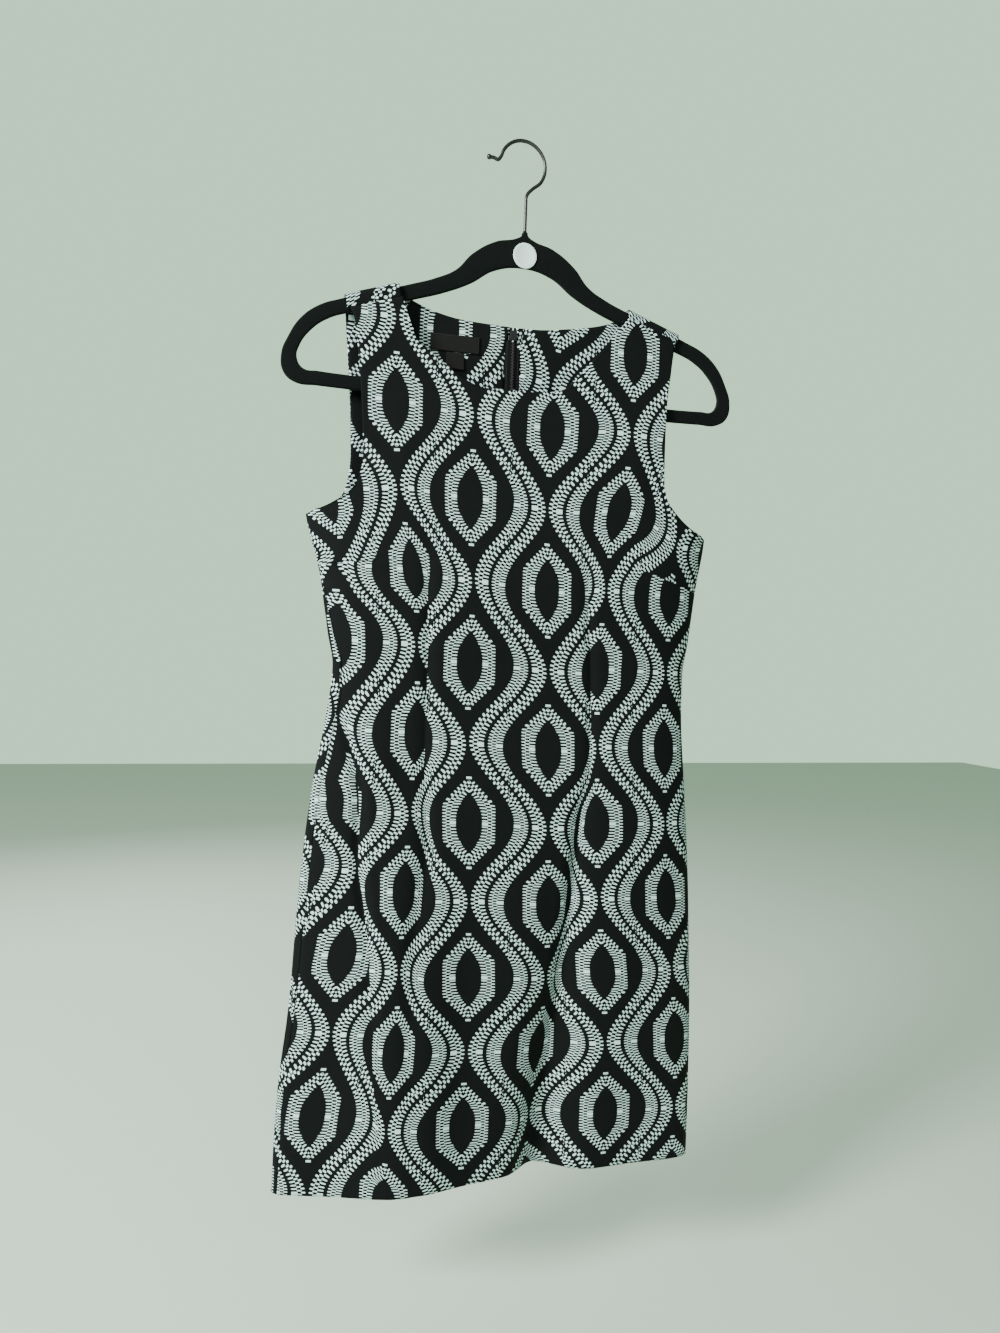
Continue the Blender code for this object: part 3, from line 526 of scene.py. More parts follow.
def directions(grid, axis, before=None, after=None):
    grid = np.moveaxis(grid, axis, 0)
    steps = unit(np.diff(grid, axis=0))
    none = np.full_like(grid[:1], np.nan)
    first = none if before is None else unit(grid[0] - before)[None]
    last = none if after is None else unit(after - grid[-1])[None]
    steps = np.nan_to_num(np.concatenate([first, steps, last]))
    return np.moveaxis(steps[:-1] + steps[1:], 0, axis)


def gridNormals(grid, before=None, after=None):
    across = directions(grid, 1, before, after)
    along = directions(grid, 0)
    return unit(np.cross(across, along))


def corners(grid):
    # The four corners of every cell of a grid, in turn.
    return grid[:-1, :-1], grid[:-1, 1:], grid[1:, 1:], grid[1:, :-1]


cloths = {"dressWall": 0.8, "facingWall": 0.6, "facingInward": 1.75, "tapeInward": 1.5,
          "tapeWall": 0.6}


def clothMesh(name, grid, flat, wall, inward=0.0, beside=(None, None), rolled=(None, None)):
    # rolled holds, for the first and last columns, which rows turn inwards into a seam.
    normal = gridNormals(grid, *beside)
    grid = grid.copy()
    for column, rows in zip((0, -1), rolled):
        if rows is not None:
            grid[rows, column] -= dress["seamRoll"] * normal[rows, column]
    kept = ~np.isnan(grid[:, :, 0])
    number = np.cumsum(kept.ravel()).reshape(kept.shape) - 1
    outer = (grid - inward * normal)[kept]
    inner = (grid - (inward + wall) * normal)[kept]
    count = len(outer)
    quads = np.stack(corners(number), axis=-1)[np.all(corners(kept), axis=0)]
    sides = np.concatenate([quads[:, [i, (i + 1) % 4]] for i in range(4)])
    known = {(a, b) for a, b in sides.tolist()}
    rim = [(b, a, a + count, b + count) for a, b in sorted(known) if (b, a) not in known]
    faces = quads.tolist() + (quads[:, ::-1] + count).tolist() + rim
    mesh = bpy.data.meshes.new(name)
    mesh.from_pydata((np.concatenate([outer, inner]) * mm).tolist(), [], faces)
    spot = np.concatenate([flat[kept], flat[kept]])
    layer = mesh.attributes.new("spot", "FLOAT_VECTOR", "POINT")
    layer.data.foreach_set("vector", np.column_stack([spot, np.zeros(len(spot))]).ravel())
    return mesh


# Objects and meshes.

def setAll(item, **settings):
    for name, value in settings.items():
        setattr(item, name, value)
    return item


def addObject(name, data):
    obj = bpy.data.objects.new(name, data)
    bpy.context.scene.collection.objects.link(obj)
    return obj


def addPiece(name, mesh, mat, node=None):
    obj = addObject(name, mesh)
    mesh.materials.clear()
    mesh.materials.append(mat)
    mesh.shade_smooth()
    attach(obj, "dress")
    if node:
        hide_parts(node)
    return obj


def finishMesh(edit, mesh):
    bmesh.ops.recalc_face_normals(edit, faces=edit.faces)
    edit.to_mesh(mesh)
    edit.free()
    return mesh


def plainMesh(obj, weld=False):
    # The finished mesh of an object with live modifiers or a bevel, its faces outwards.
    bpy.context.view_layer.update()
    graph = bpy.context.evaluated_depsgraph_get()
    mesh = bpy.data.meshes.new_from_object(obj.evaluated_get(graph))
    mesh.transform(obj.matrix_world)
    bpy.data.objects.remove(obj, do_unlink=True)
    edit = bmesh.new()
    edit.from_mesh(mesh)
    if weld:
        bmesh.ops.remove_doubles(edit, verts=edit.verts, dist=0.005 * mm)
    return finishMesh(edit, mesh)


# How the printed cloth lies on the dress, so that its pattern bends, slips and jumps where
# the cloth is taken in. All in millimetres of flat cloth.
pattern = {
    "repeatWide": 76.0,
    "repeatHigh": 153.0,
    "frontPhase": 329.5,      # drop of an oval's centre on the column u = 0
    "skew": 0.03,
    "leftBust": {"apex": (-114.0, 387.0), "side": (-196.0, 398.0), "angle": 0.2, "most": 17},
    "rightBust": {"apex": (118.0, 384.0), "side": (191.0, 405.0), "angle": 0.56, "most": 28},
    "bustFade": (235, 372),
    # Width beside the tuck, x of the middle, and the flank's and edge's widths past the fold.
    "reaches": (40, -20, 45, 60),
    # x and drop of an oval's centre on the facings, and their turn.
    "facing": {"left": (-71.0, 173.0, 0.0), "right": (48.5, 137.0, 0.19)},
    "backU": 30,
    "backV": 22,
    "backApart": 9,
    "backDartTakes": 17,
    # How far the print lies to one side of the length of cloth from the middle, at places
    # beside the tuck, the left dart and the right dart with the fold below it.
    "slip": table(
        "drop side tuckOut tuckIn dartOut dartIn middle valleyIn valleyOut flank edge",
        (120, -36, -36, -36, -36, -36, -36, -36, -30, -30, -30),
        (220, -39, -39, -39, -39, -39, -39, -39, -33, -33, -33),
        (260, -40.5, -40.5, -40.5, -40.5, -42, -42, -42, -36, -36, -36),
        (330, -33, -37, -40, -41, -50, -50, -50, -51.5, -52.5, -55),
        (380, -16, -21, -25, -33, -49, -52, -53, -63, -69, -72),
        (388, -17, -21.5, -24, -32, -48.5, -52, -53.5, -64, -69, -72),
        (396, -32, -24.5, -25, -30, -47.5, -52, -54, -66, -71, -73),
        (412, -34, -23.5, -25, -29, -46, -52.5, -55, -67, -72, -74),
        (470, -33, -21.5, -23, -27.8, -52, -52.3, -49, -75, -74, -74),
        (556, -14, -16.8, -22, -21.5, -50.3, -48, -41, -68.8, -69.4, -71),
        (585, 0, 0, -22.5, -24, -47.5, -45, -39.5, -67.5, -66, -68),
        (612, 12.3, 10.7, -22.7, -27, -46, -43.5, -38.5, -66.5, -63, -65),
        (632, 10, 9, -24, -26, -45.2, -43, -38, -65.4, -60, -62.5),
        (676, 1.7, 0.2, -26.5, -31, -43, -42, -36, -60, -56.5, -58),
        (700, -3, -4, -26, -31.5, -41.4, -41.4, -34, -55.5, -55, -56),
        (780, -15.5, -13.5, -28.9, -35, -42.1, -38.3, -32, -48, -44, -43.4),
        (850, -20, -23.3, -30.8, -36, -40.6, -35, -30.5, -38.6, -35, -30.4),
        (927, -34.5, -35.5, -36.5, -40.7, -41.8, -34.4, -29, -30.3, -24, -19.3),
        (1003.6, -38, -38, -38.5, -41, -41.5, -33, -28, -27, -20, -15)),
    # How far the print rides up left of the tuck, and between the tuck and the dart.
    "rideUp": table(
        "drop outer inner", (120, 0, 0), (245, 4, 4), (330, 4, 3), (402, 12, 6), (460, 21, 14),
        (550, 18, 8), (613, 18, 8), (676, 28, 10), (761, 22, 9), (838, 21, 5), (922, 13.5, 3),
        (1003.6, 10, 2)),
    # Right of the dart: how far down it goes, from which x, over what width; past the fold.
    "middleRide": (-4.5, -45, 80, 1.0),
    # How much of each change is a sharp jump, and the half-width of the rest.
    "jumps": table(
        "drop tuck dart rollSoft valleySoft", (120, 0, 0, 30, 30), (388, 0, 0, 25, 25),
        (430, 0, 0.92, 22, 22), (540, 0, 0.92, 20, 20), (575, 0.6, 0.7, 14, 12),
        (603, 1, 0, 12, 8), (800, 1, 0, 12, 9), (860, 0.6, 0, 13, 14), (930, 0.1, 0, 14, 16),
        (1003.6, 0, 0, 14, 16)),
}


def arcAcross(side, x, drop):
    # Length of cloth at one drop, from the middle to x.
    drop = np.clip(drop, 150, dress["hem"])
    centre, width = section("centre", drop), section("halfWidth", drop)
    turn = np.arcsin(np.clip((x - centre) / width, -1, 1))
    xs = centre + width * np.sin(turn * np.linspace(0, 1, 21)[:, None])
    ys = surfaceY(side, xs, np.broadcast_to(drop, xs.shape), detail=False)
    length = np.hypot(np.diff(xs, axis=0), np.diff(ys, axis=0)).sum(axis=0)
    return np.sign(x - centre) * length


def belowBust(bust, x, drop):
    (x1, drop1), (x2, drop2) = bust["apex"], bust["side"]
    return drop > drop1 + (x - x1) * (drop2 - drop1) / (x2 - x1)


def between(start, end, share):
    return start + (end - start) * np.clip(share, 0, 1)


def frontCloth(arc, x, drop, faceX, faceDrop):
    # u and v of the print at points, given a point inside the face that each belongs to.
    slip, jumps, ride = pattern["slip"], pattern["jumps"], pattern["rideUp"]
    at = {name: atDrop(slip, name, drop) for name in slip if name != "drop"}
    lines, past = [], []
    for name, hard, soft in (("leftTuck", "tuck", 8.0), ("leftDart", "dart", "rollSoft"),
                             ("rightValley", "dart", "valleySoft")):
        line = lineX(name, drop)
        beyond = faceX > lineX(name, faceDrop)
        hard = atDrop(jumps, hard, drop)
        if isinstance(soft, str):
            soft = atDrop(jumps, soft, drop)
        lines.append(line)
        past.append(hard * beyond + (1 - hard) * smoothStep(line - soft, line + soft, x))
    tuck, dart, valley = lines
    beside, middleX, flank, edgeWidth = pattern["reaches"]
    outer = between(at["side"], at["tuckOut"], (x - tuck + beside) / beside)
    inner = between(at["tuckIn"], at["dartOut"], (x - tuck) / (dart - tuck))
    middle = between(at["dartIn"], at["middle"], (x - dart) / (middleX - dart))
    middle = between(middle, at["valleyIn"], (x - middleX) / (valley - middleX))
    right = between(at["valleyOut"], at["flank"], (x - valley) / flank)
    right = between(right, at["edge"], (x - valley - flank) / edgeWidth)
    slipped = between(between(between(outer, inner, past[0]), middle, past[1]), right, past[2])
    up = between(atDrop(ride, "outer", drop), atDrop(ride, "inner", drop), past[0])
    low, start, wide, farRise = pattern["middleRide"]
    up = between(up, between(0, low, (x - start) / wide), past[1])
    v = drop - pattern["skew"] * x + between(up, farRise, past[2])
    for name, toward in (("leftBust", -1), ("rightBust", 1)):
        bust = pattern[name]
        above = ~belowBust(bust, faceX, faceDrop)
        out = np.maximum(toward * (x - bust["apex"][0]), 0)
        lifted = np.minimum(bust["angle"] * out, bust["most"])
        v = v - above * smoothStep(*pattern["bustFade"], drop) * lifted
    return arc - slipped, v


def backCloth(half):
    toward = halves[half]

    def place(arc, x, drop, faceX, faceDrop):
        # The cloth that the dart takes up is skipped outside it.
        taken = pattern["backDartTakes"] * smoothStep(388, 485, drop)
        taken = taken * (1 - smoothStep(500, 603, drop))
        outside = toward * (faceX - lineX(half + "BackDart", faceDrop)) > 0
        apart = outside * taken + pattern["backApart"]
        return arc + toward * apart + pattern["backU"], drop + pattern["backV"]

    return place


def facingCloth(half):
    middleX, middleDrop, turned = pattern["facing"][half]

    def place(arc, x, drop, faceX, faceDrop):
        across, down = x - middleX, drop - middleDrop
        u = across * math.cos(turned) + down * math.sin(turned)
        v = down * math.cos(turned) - across * math.sin(turned)
        return u, v + pattern["frontPhase"]

    return place


def addUv(mesh, side, place):
    # One UV map in millimetres of flat cloth, which may jump from face to face.
    def read(items, name, kind, width=1):
        values = np.empty(len(items) * width, kind)
        items.foreach_get(name, values)
        return values

    spots = read(mesh.attributes["spot"].data, "vector", float, 3).reshape(-1, 3)[:, :2]
    loops = read(mesh.loops, "vertex_index", int)
    starts = read(mesh.polygons, "loop_start", int)
    counts = read(mesh.polygons, "loop_total", int)
    middles = np.add.reduceat(spots[loops], starts, axis=0) / counts[:, None]
    middles = np.repeat(middles, counts, axis=0)
    u, v = place(arcAcross(side, *spots.T)[loops], *spots[loops].T, *middles.T)
    layer = mesh.uv_layers.new(name="cloth")
    layer.data.foreach_set("uv", np.column_stack([u, v]).ravel())


bustCut = {"near": 40, "ease": 12, "sink": 0.55}


def cutBustDart(mesh, bust):
    # Cuts the faces beside a bust dart along its line, and sinks the line a little.
    (x1, drop1), (x2, drop2) = bust["apex"], bust["side"]
    toward = 1 if x2 > x1 else -1
    edit = bmesh.new()
    edit.from_mesh(mesh)
    near = []
    for face in edit.faces:
        at = face.calc_center_median() / mm
        if toward * (at.x - x1) > 0 and abs(-at.z - drop1) < bustCut["near"]:
            near.append(face)
    parts = near + list({e for f in near for e in f.edges})
    parts += list({v for f in near for v in f.verts})
    across = Vector((drop2 - drop1, 0, x2 - x1)).normalized()
    point = Vector((x1, 0, -drop1)) * mm
    cut = bmesh.ops.bisect_plane(edit, geom=parts, dist=1e-7, plane_co=point, plane_no=across)
    for item in cut["geom_cut"]:
        if isinstance(item, bmesh.types.BMVert):
            reach = smoothStep(0, bustCut["ease"], toward * (item.co.x / mm - x1))
            item.co.y += bustCut["sink"] * mm * float(reach)
    edit.to_mesh(mesh)
    edit.free()


# Shader pieces.

def setSocket(tree, socket, value):
    if isinstance(value, bpy.types.NodeSocket):
        tree.links.new(value, socket)
    else:
        socket.default_value = value


def addNode(tree, kind, inputs=(), **settings):
    node = setAll(tree.nodes.new(kind), **settings)
    for label, value in dict(inputs).items():
        setSocket(tree, node.inputs[label], value)
    return node


def calc(tree, operation, *values):
    return addNode(tree, "ShaderNodeMath", enumerate(values), operation=operation).outputs[0]


def shortSums(tree):
    # Add, subtract, multiply, divide, absolute, lesser and greater, under short names.
    names = ("ADD", "SUBTRACT", "MULTIPLY", "DIVIDE", "ABSOLUTE", "MINIMUM", "MAXIMUM")
    return [partial(calc, tree, name) for name in names]


def newGroup(name, inputs, outputs, kind="ShaderNodeTree"):
    # A socket is a float where its default is given, and else of the kind that is named.
    group = bpy.data.node_groups.new(name, kind)
    for labels, way in ((inputs, "INPUT"), (outputs, "OUTPUT")):
        for label, value in labels.items():
            isFloat = isinstance(value, float)
            socket = group.interface.new_socket(
                label, in_out=way, socket_type="NodeSocketFloat" if isFloat else value)
            if isFloat:
                socket.default_value = value
    start = group.nodes.new("NodeGroupInput")
    return group, start.outputs, group.nodes.new("NodeGroupOutput").inputs


def useGroup(tree, group, **values):
    return addNode(tree, "ShaderNodeGroup", values, node_tree=group).outputs


# How the print is drawn, in millimetres of flat cloth.
dash = {
    "squareAcross": 4.0,
    "squareAlong": 3.0,
    "crispness": 3.0,
    # Columns of dashes across a band: from, to, offset along it and thickness.
    "columns": ((0.0, 0.46, 0.5, 0.43), (0.41, 0.76, 0.0, 0.40), (0.70, 1.0, 0.5, 0.43)),
}
ring = {"inner": 12.4, "outer": 25.3, "slope": 0.955, "straight": 18.9, "rounding": 5.0,
        "hollow": 29.5, "bow": 2.4, "pitch": 3.05, "end": 40.8, "leanFrom": 18.2, "lean": 0.47,
        "tip": 43.5, "tipHalf": 2.5, "tipThick": 1.1}
band = {"wave": 20.6, "width": 14.2, "gap": 3.5, "lean": 0.6, "dashes": 43, "crowding": 0.173,
        "thinFalling": 0.10, "thinSteep": 0.06}
patch = {"middle": 0.24, "half": 0.22, "tall": 1.7}     # filled where a band turns


def makeDashGroup():
    # One column of rounded dashes across part of a band's width.
    group, given, out = newGroup(
        "Dash column", {"Across": 0.5, "Along": 0.0, "From": 0.0, "To": 0.5, "Offset": 0.0,
                        "Thickness": 0.6}, {"Mask": 0.0})
    add, minus, times, over, size, least, most = shortSums(group)
    do = partial(calc, group)
    middle = times(add(given["From"], given["To"]), 0.5)
    x = over(minus(given["Across"], middle), times(minus(given["To"], given["From"]), 0.5))
    step = do("FRACT", add(given["Along"], given["Offset"]))
    y = over(minus(step, 0.5), times(given["Thickness"], 0.5))
    rounded = add(do("POWER", size(x), dash["squareAcross"]),
                  do("POWER", size(y), dash["squareAlong"]))
    mask = times(minus(1.0, rounded), dash["crispness"])
    group.links.new(least(most(mask, 0.0), 1.0), out["Mask"])
    return group


def makePrintGroup(dashes):
    # Rows of pointed ovals between wavy double bands, all drawn in short dashes.
    wide, high = pattern["repeatWide"], pattern["repeatHigh"]
    group, given, out = newGroup("Oval and wave print", {"Vector": "NodeSocketVector"},
                                 {"Mask": 0.0})
    add, minus, times, over, size, least, most = shortSums(group)
    do = partial(calc, group)
    u, v = addNode(group, "ShaderNodeSeparateXYZ", {0: given["Vector"]}).outputs[:2]
    column = over(u, wide)
    odd = times(do("FRACT", times(do("FLOOR", column), 0.5)), 2.0)
    x = times(minus(do("FRACT", column), 0.5), wide)
    other = do("GREATER_THAN", x, 0.0)
    x = times(size(x), -1.0)
    turns = add(over(minus(v, pattern["frontPhase"]), high), times(minus(other, odd), 0.5))
    y = times(minus(do("FRACT", add(turns, 0.5)), 0.5), high)
    tall = size(y)
    side = add(x, wide / 2)
    masks = []

    def addBand(across, along, patched):
        for low, top, offset, thick in dash["columns"]:
            masks.append(useGroup(group, dashes, Across=across, Along=along, From=low, To=top,
                                  Offset=offset, Thickness=thick)["Mask"])
        covers = size(minus(across, patch["middle"]))
        masks.append(times(do("LESS_THAN", patched, patch["tall"]),
                           do("LESS_THAN", covers, patch["half"])))

    # The oval's ring, with a dash of its own above and below it.
    slanted = times(minus(tall, ring["straight"]), ring["slope"])
    spot = do("SMOOTH_MAX", side, add(side, slanted), ring["rounding"])
    within = least(tall, ring["hollow"])
    curved = minus(1.0, do("POWER", over(within, ring["hollow"]), ring["bow"]))
    inside = add(times(curved, ring["inner"]),
                 most(times(minus(within, ring["straight"]), ring["slope"]), 0.0))
    across = over(minus(spot, inside), minus(ring["outer"], inside))
    across = add(across, times(do("GREATER_THAN", tall, ring["end"]), 9.0))
    lean = times(least(most(over(slanted, 8.0), 0.0), 1.0),
                 times(minus(spot, ring["leanFrom"]), ring["lean"]))
    addBand(across, over(minus(tall, lean), ring["pitch"]), tall)
    masks.append(times(do("LESS_THAN", side, ring["tipHalf"]),
                       do("LESS_THAN", size(minus(tall, ring["tip"])), ring["tipThick"])))
    # The wavy double band, thinner where it runs down to the right.
    angle = times(y, 2 * math.pi / high)
    bulge = do("COSINE", angle)
    rate = times(do("SINE", angle), -band["wave"] * 2 * math.pi / high)
    off = minus(x, times(bulge, band["wave"]))
    falling = times(rate, minus(1.0, times(other, 2.0)))
    thinned = minus(minus(1.0, times(falling, band["thinFalling"])),
                    times(size(rate), band["thinSteep"]))
    square = over(off, thinned)
    reach = (band["gap"] + band["width"]) / 2
    local = minus(square, times(do("SIGN", square), reach))
    across = add(over(times(do("SIGN", bulge), local), band["width"]), 0.5)
    crowded = times(do("SINE", times(angle, 2.0)), band["crowding"] * high / (4 * math.pi))
    leaning = times(times(rate, off), band["lean"])
    along = over(add(add(y, crowded), leaning), high / band["dashes"])
    addBand(across, along, least(tall, minus(high / 2, tall)))
    group.links.new(reduce(most, masks), out["Mask"])
    return group


def makeWeaveGroup():
    # Crossing threads and a slow unevenness, as a height and a shade, on coordinates in mm.
    group, given, out = newGroup(
        "Weave", {"Vector": "NodeSocketVector", "Thread": 0.42, "Unevenness": 0.5},
        {"Height": 0.0, "Shade": 0.0})
    add, minus, times, over, size, least, most = shortSums(group)
    parts = addNode(group, "ShaderNodeSeparateXYZ", {0: given["Vector"]}).outputs[:2]
    threads = times(*[size(calc(group, "SINE", over(times(part, math.pi), given["Thread"])))
                      for part in parts])
    noise = addNode(group, "ShaderNodeTexNoise",
                    {"Scale": 0.11, "Detail": 3.0, "Vector": given["Vector"]})
    slow = times(minus(noise.outputs[0], 0.5), given["Unevenness"])
    group.links.new(add(times(threads, 0.12), slow), out["Height"])
    group.links.new(add(times(threads, 0.3), 0.78), out["Shade"])
    return group


def newMaterial(name, roughness, metallic=0.0, **plain):
    mat = bpy.data.materials.new(name)
    mat.use_nodes = True
    tree = mat.node_tree
    shader = tree.nodes["Principled BSDF"]
    for label, value in {"Roughness": roughness, "Metallic": metallic, **plain}.items():
        shader.inputs[label.replace("_", " ")].default_value = value
    return mat, tree, shader


def mixColours(tree, factor, first, second, blend="MIX"):
    return addNode(tree, "ShaderNodeMix", {0: factor, 6: first, 7: second}, data_type="RGBA",
                   blend_type=blend).outputs[2]


def coat(tree, shader, colour, shade, height, strength, depth):
    # The colour with a shade over it, and a height that makes the surface uneven.
    grey = addNode(tree, "ShaderNodeCombineColor", {i: shade for i in range(3)}).outputs[0]
    shaded = mixColours(tree, 1.0, colour, grey, "MULTIPLY")
    tree.links.new(shaded, shader.inputs["Base Color"])
    bump = addNode(tree, "ShaderNodeBump",
                   {"Strength": strength, "Distance": depth, "Height": height})
    tree.links.new(bump.outputs[0], shader.inputs["Normal"])


clothGloss = 0.13
printCloth = {
    "ground": (0.0029, 0.0045, 0.0043, 1.0),
    "marks": (0.66, 0.88, 0.85, 1.0),
    "roughness": 0.85,
}


def makePrintedCloth(printGroup, weaveGroup):
    mat, tree, shader = newMaterial("Printed satin cloth", printCloth["roughness"],
                                    Specular_IOR_Level=clothGloss)
    uv = addNode(tree, "ShaderNodeUVMap", uv_map="cloth").outputs[0]
    mask = useGroup(tree, printGroup, Vector=uv)["Mask"]
    weave = useGroup(tree, weaveGroup, Vector=uv, Thread=0.42, Unevenness=0.5)
    colour = mixColours(tree, mask, printCloth["ground"], printCloth["marks"])
    height = calc(tree, "ADD", weave["Height"], calc(tree, "MULTIPLY", mask, 0.1))
    coat(tree, shader, colour, weave["Shade"], height, 0.6, 0.6 * mm)
    return mat


def makeWovenBlack(name, weaveGroup, colour, thread, roughness):
    mat, tree, shader = newMaterial(name, roughness, Specular_IOR_Level=clothGloss)
    coords = tree.nodes.new("ShaderNodeTexCoord").outputs["Object"]
    inMm = addNode(tree, "ShaderNodeMapping", {"Vector": coords, "Scale": (1000, 1000, 1000),
                                               "Rotation": (math.radians(90), 0, 0)})
    weave = useGroup(tree, weaveGroup, Vector=inMm.outputs[0], Thread=thread, Unevenness=0.3)
    coat(tree, shader, colour, weave["Shade"], weave["Height"], 0.7, 0.5 * mm)
    return mat


def makeSpeckled(name, colour, roughness, metallic, scale, depth, speckle=0.12, **plain):
    # A plain finish with fine speckle in its roughness, shade and surface.
    mat, tree, shader = newMaterial(name, roughness, metallic, **plain)
    coords = tree.nodes.new("ShaderNodeTexCoord").outputs["Object"]
    noise = addNode(tree, "ShaderNodeTexNoise",
                    {"Scale": scale, "Detail": 4.0, "Vector": coords}).outputs[0]
    shade = calc(tree, "ADD", calc(tree, "MULTIPLY", noise, 2 * speckle), 1 - speckle)
    tree.links.new(calc(tree, "MULTIPLY", shade, roughness), shader.inputs["Roughness"])
    coat(tree, shader, colour, shade, noise, 0.5, depth)
    return mat


weaveGroup = makeWeaveGroup()
printedCloth = makePrintedCloth(makePrintGroup(makeDashGroup()), weaveGroup)
tapeCloth = makeWovenBlack("Zip tape", weaveGroup, (0.0042, 0.0052, 0.0052, 1), 0.7, 0.85)
labelCloth = makeWovenBlack("Woven label", weaveGroup, (0.0088, 0.0090, 0.0082, 1), 0.5, 0.75)
flock = makeSpeckled("Velvet flock", (0.0040, 0.0055, 0.0052, 1), 0.95, 0.0, 2600, 0.0005,
                     0.35, Sheen_Weight=0.03, Sheen_Roughness=0.45, Specular_IOR_Level=0.08)
discWhite = makeSpeckled("Moulded white disc", (0.66, 0.84, 0.78, 1), 0.42, 0.0, 400, 0.0001,
                         0.03)
darkNickel = makeSpeckled("Dark nickel wire", (0.060, 0.062, 0.060, 1), 0.40, 1.0, 300,
                          0.000004)
zipBlack = makeSpeckled("Black lacquered zip metal", (0.02, 0.02, 0.022, 1), 0.34, 0.6, 1500,
                        0.00005, Coat_Weight=0.4)
nylon = makeSpeckled("Black nylon teeth", (0.014, 0.014, 0.015, 1), 0.5, 0.0, 2000, 0.00005)
thread = makeSpeckled("Black sewing thread", (0.018, 0.019, 0.020, 1), 0.7, 0.0, 3000, 0.0001)
print("Finishes ready")


# The dress's panels.

def addPanel(name, node, side, place, flatSize, grid, flat, cuts=(), **build):
    # A panel of printed cloth that hangs from the shoulders.
    mesh = clothMesh(name, grid, flat, **build)
    for bust in cuts:
        cutBustDart(mesh, pattern[bust])
    addUv(mesh, side, place)
    piece = addPiece(name, mesh, printedCloth, node)


def buildDress():
    wall = cloths["dressWall"]
    flat = frontFlat()
    front = lift(-1, flat)
    skirts = {half: backSkirt(half) for half in halves}
    rows = len(skirtDrops())
    sewn = np.arange(rows)
    centreSewn = np.arange(rows + rowCounts["yoke"])

    def nextTo(grid, column):
        beside = np.full((len(front), 3), np.nan)
        beside[:rows] = grid[:rows, column]
        return beside

    beside = [nextTo(skirts[half][0], -2) for half in halves]
    addPanel("front", "front_panel", -1, frontCloth, (0.46, 0.88), front, flat,
             ("leftBust", "rightBust"), wall=wall, beside=beside, rolled=(sewn, sewn))
    backs = {}
    for half in halves:
        skirt, skirtFlat = skirts[half]
        upright = ((0, seamOpening), (1, lambda drop: seamOpening(drop) + dress["seamTurn"]),
                   (len(backStretches[0]) - 1, lambda drop: zipper["tapeWidth"]))
        yoke = yokeAndStrap(half, skirtFlat[-1], edges["backArmhole"][half], upright,
                            strapShares["back"])
        flat = np.concatenate([skirtFlat, yoke[1:]])
        back = np.concatenate([skirt, lift(1, yoke[1:])])
        facing = facingFlat(half)
        across = np.full_like(back[:, 0], np.nan)
        across[:rows] = front[:rows, 1 if half == "left" else -2]
        beside, rolled = (None, across), (centreSewn, sewn)
        if half == "right":
            beside, rolled = beside[::-1], rolled[::-1]
            back, flat, facing = back[:, ::-1], flat[:, ::-1], facing[:, ::-1]
        addPanel("back" + half.title(), "back_" + half, 1, backCloth(half), (0.235, 0.90),
                 back, flat, wall=wall, beside=beside, rolled=rolled)
        addPanel("facing" + half.title(), "facing_" + half, 1, facingCloth(half),
                 (0.175, 0.215), lift(1, facing), facing, wall=cloths["facingWall"],
                 inward=cloths["facingInward"])
        backs[half] = back
    return backs


backs = buildDress()


# Repeats along a path: teeth and stitches.

def makeRepeatTree(name, mat, bar, barSize=()):
    # Copies of a small bar at an even pitch along a path, swaying to either side in turn.
    tree, given, out = newGroup(
        name, {"Path": "NodeSocketGeometry", "Pitch": 0.002, "Length": 0.001, "Width": 0.001,
               "Height": 0.001, "Sway": 0.0}, {"Result": "NodeSocketGeometry"},
        "GeometryNodeTree")
    points = addNode(tree, "GeometryNodeResampleCurve",
                     {"Curve": given["Path"], "Length": given["Pitch"]}, mode="LENGTH")
    places = addNode(tree, "GeometryNodeCurveToPoints", {"Curve": points.outputs[0]},
                     mode="EVALUATED").outputs
    index = tree.nodes.new("GeometryNodeInputIndex").outputs[0]
    odd = calc(tree, "SUBTRACT", calc(tree, "MODULO", index, 2.0), 0.5)
    away = calc(tree, "MULTIPLY", calc(tree, "MULTIPLY", odd, 2.0), given["Sway"])
    shift = addNode(tree, "ShaderNodeCombineXYZ", {0: away}).outputs[0]
    moved = addNode(tree, "GeometryNodeSetPosition",
                    {"Geometry": places["Points"], "Offset": shift}).outputs[0]
    size = addNode(tree, "ShaderNodeCombineXYZ", enumerate(
        given[label] for label in ("Width", "Height", "Length"))).outputs[0]
    copies = addNode(tree, "GeometryNodeInstanceOnPoints", {
        "Points": moved, "Instance": addNode(tree, bar, barSize).outputs["Mesh"],
        "Rotation": places["Rotation"], "Scale": size}).outputs[0]
    real = addNode(tree, "GeometryNodeRealizeInstances", {0: copies}).outputs[0]
    painted = addNode(tree, "GeometryNodeSetMaterial", {"Geometry": real, "Material": mat})
    tree.links.new(painted.outputs[0], out["Result"])
    return tree


def addLine(curve, points):
    # A line through points in millimetres.
    spline = curve.splines.new("POLY")
    spline.points.add(len(points) - 1)
    for point, place in zip(spline.points, points):
        point.co = (*(np.asarray(place) * mm), 1)
    return spline


def repeatAlong(name, paths, tree, mat, sizes):
    data = setAll(bpy.data.curves.new(name, "CURVE"), dimensions="3D")
    for path in paths:
        addLine(data, path)
    guide = addObject(name + " path", data)
    modifier = guide.modifiers.new("Repeat", "NODES")
    modifier.node_group = tree
    for item in tree.interface.items_tree:
        if item.in_out == "INPUT" and item.name.lower() in sizes:
            modifier[item.identifier] = sizes[item.name.lower()] * mm
    mesh = plainMesh(guide)
    mesh.name = name
    return addPiece(name, mesh, mat)


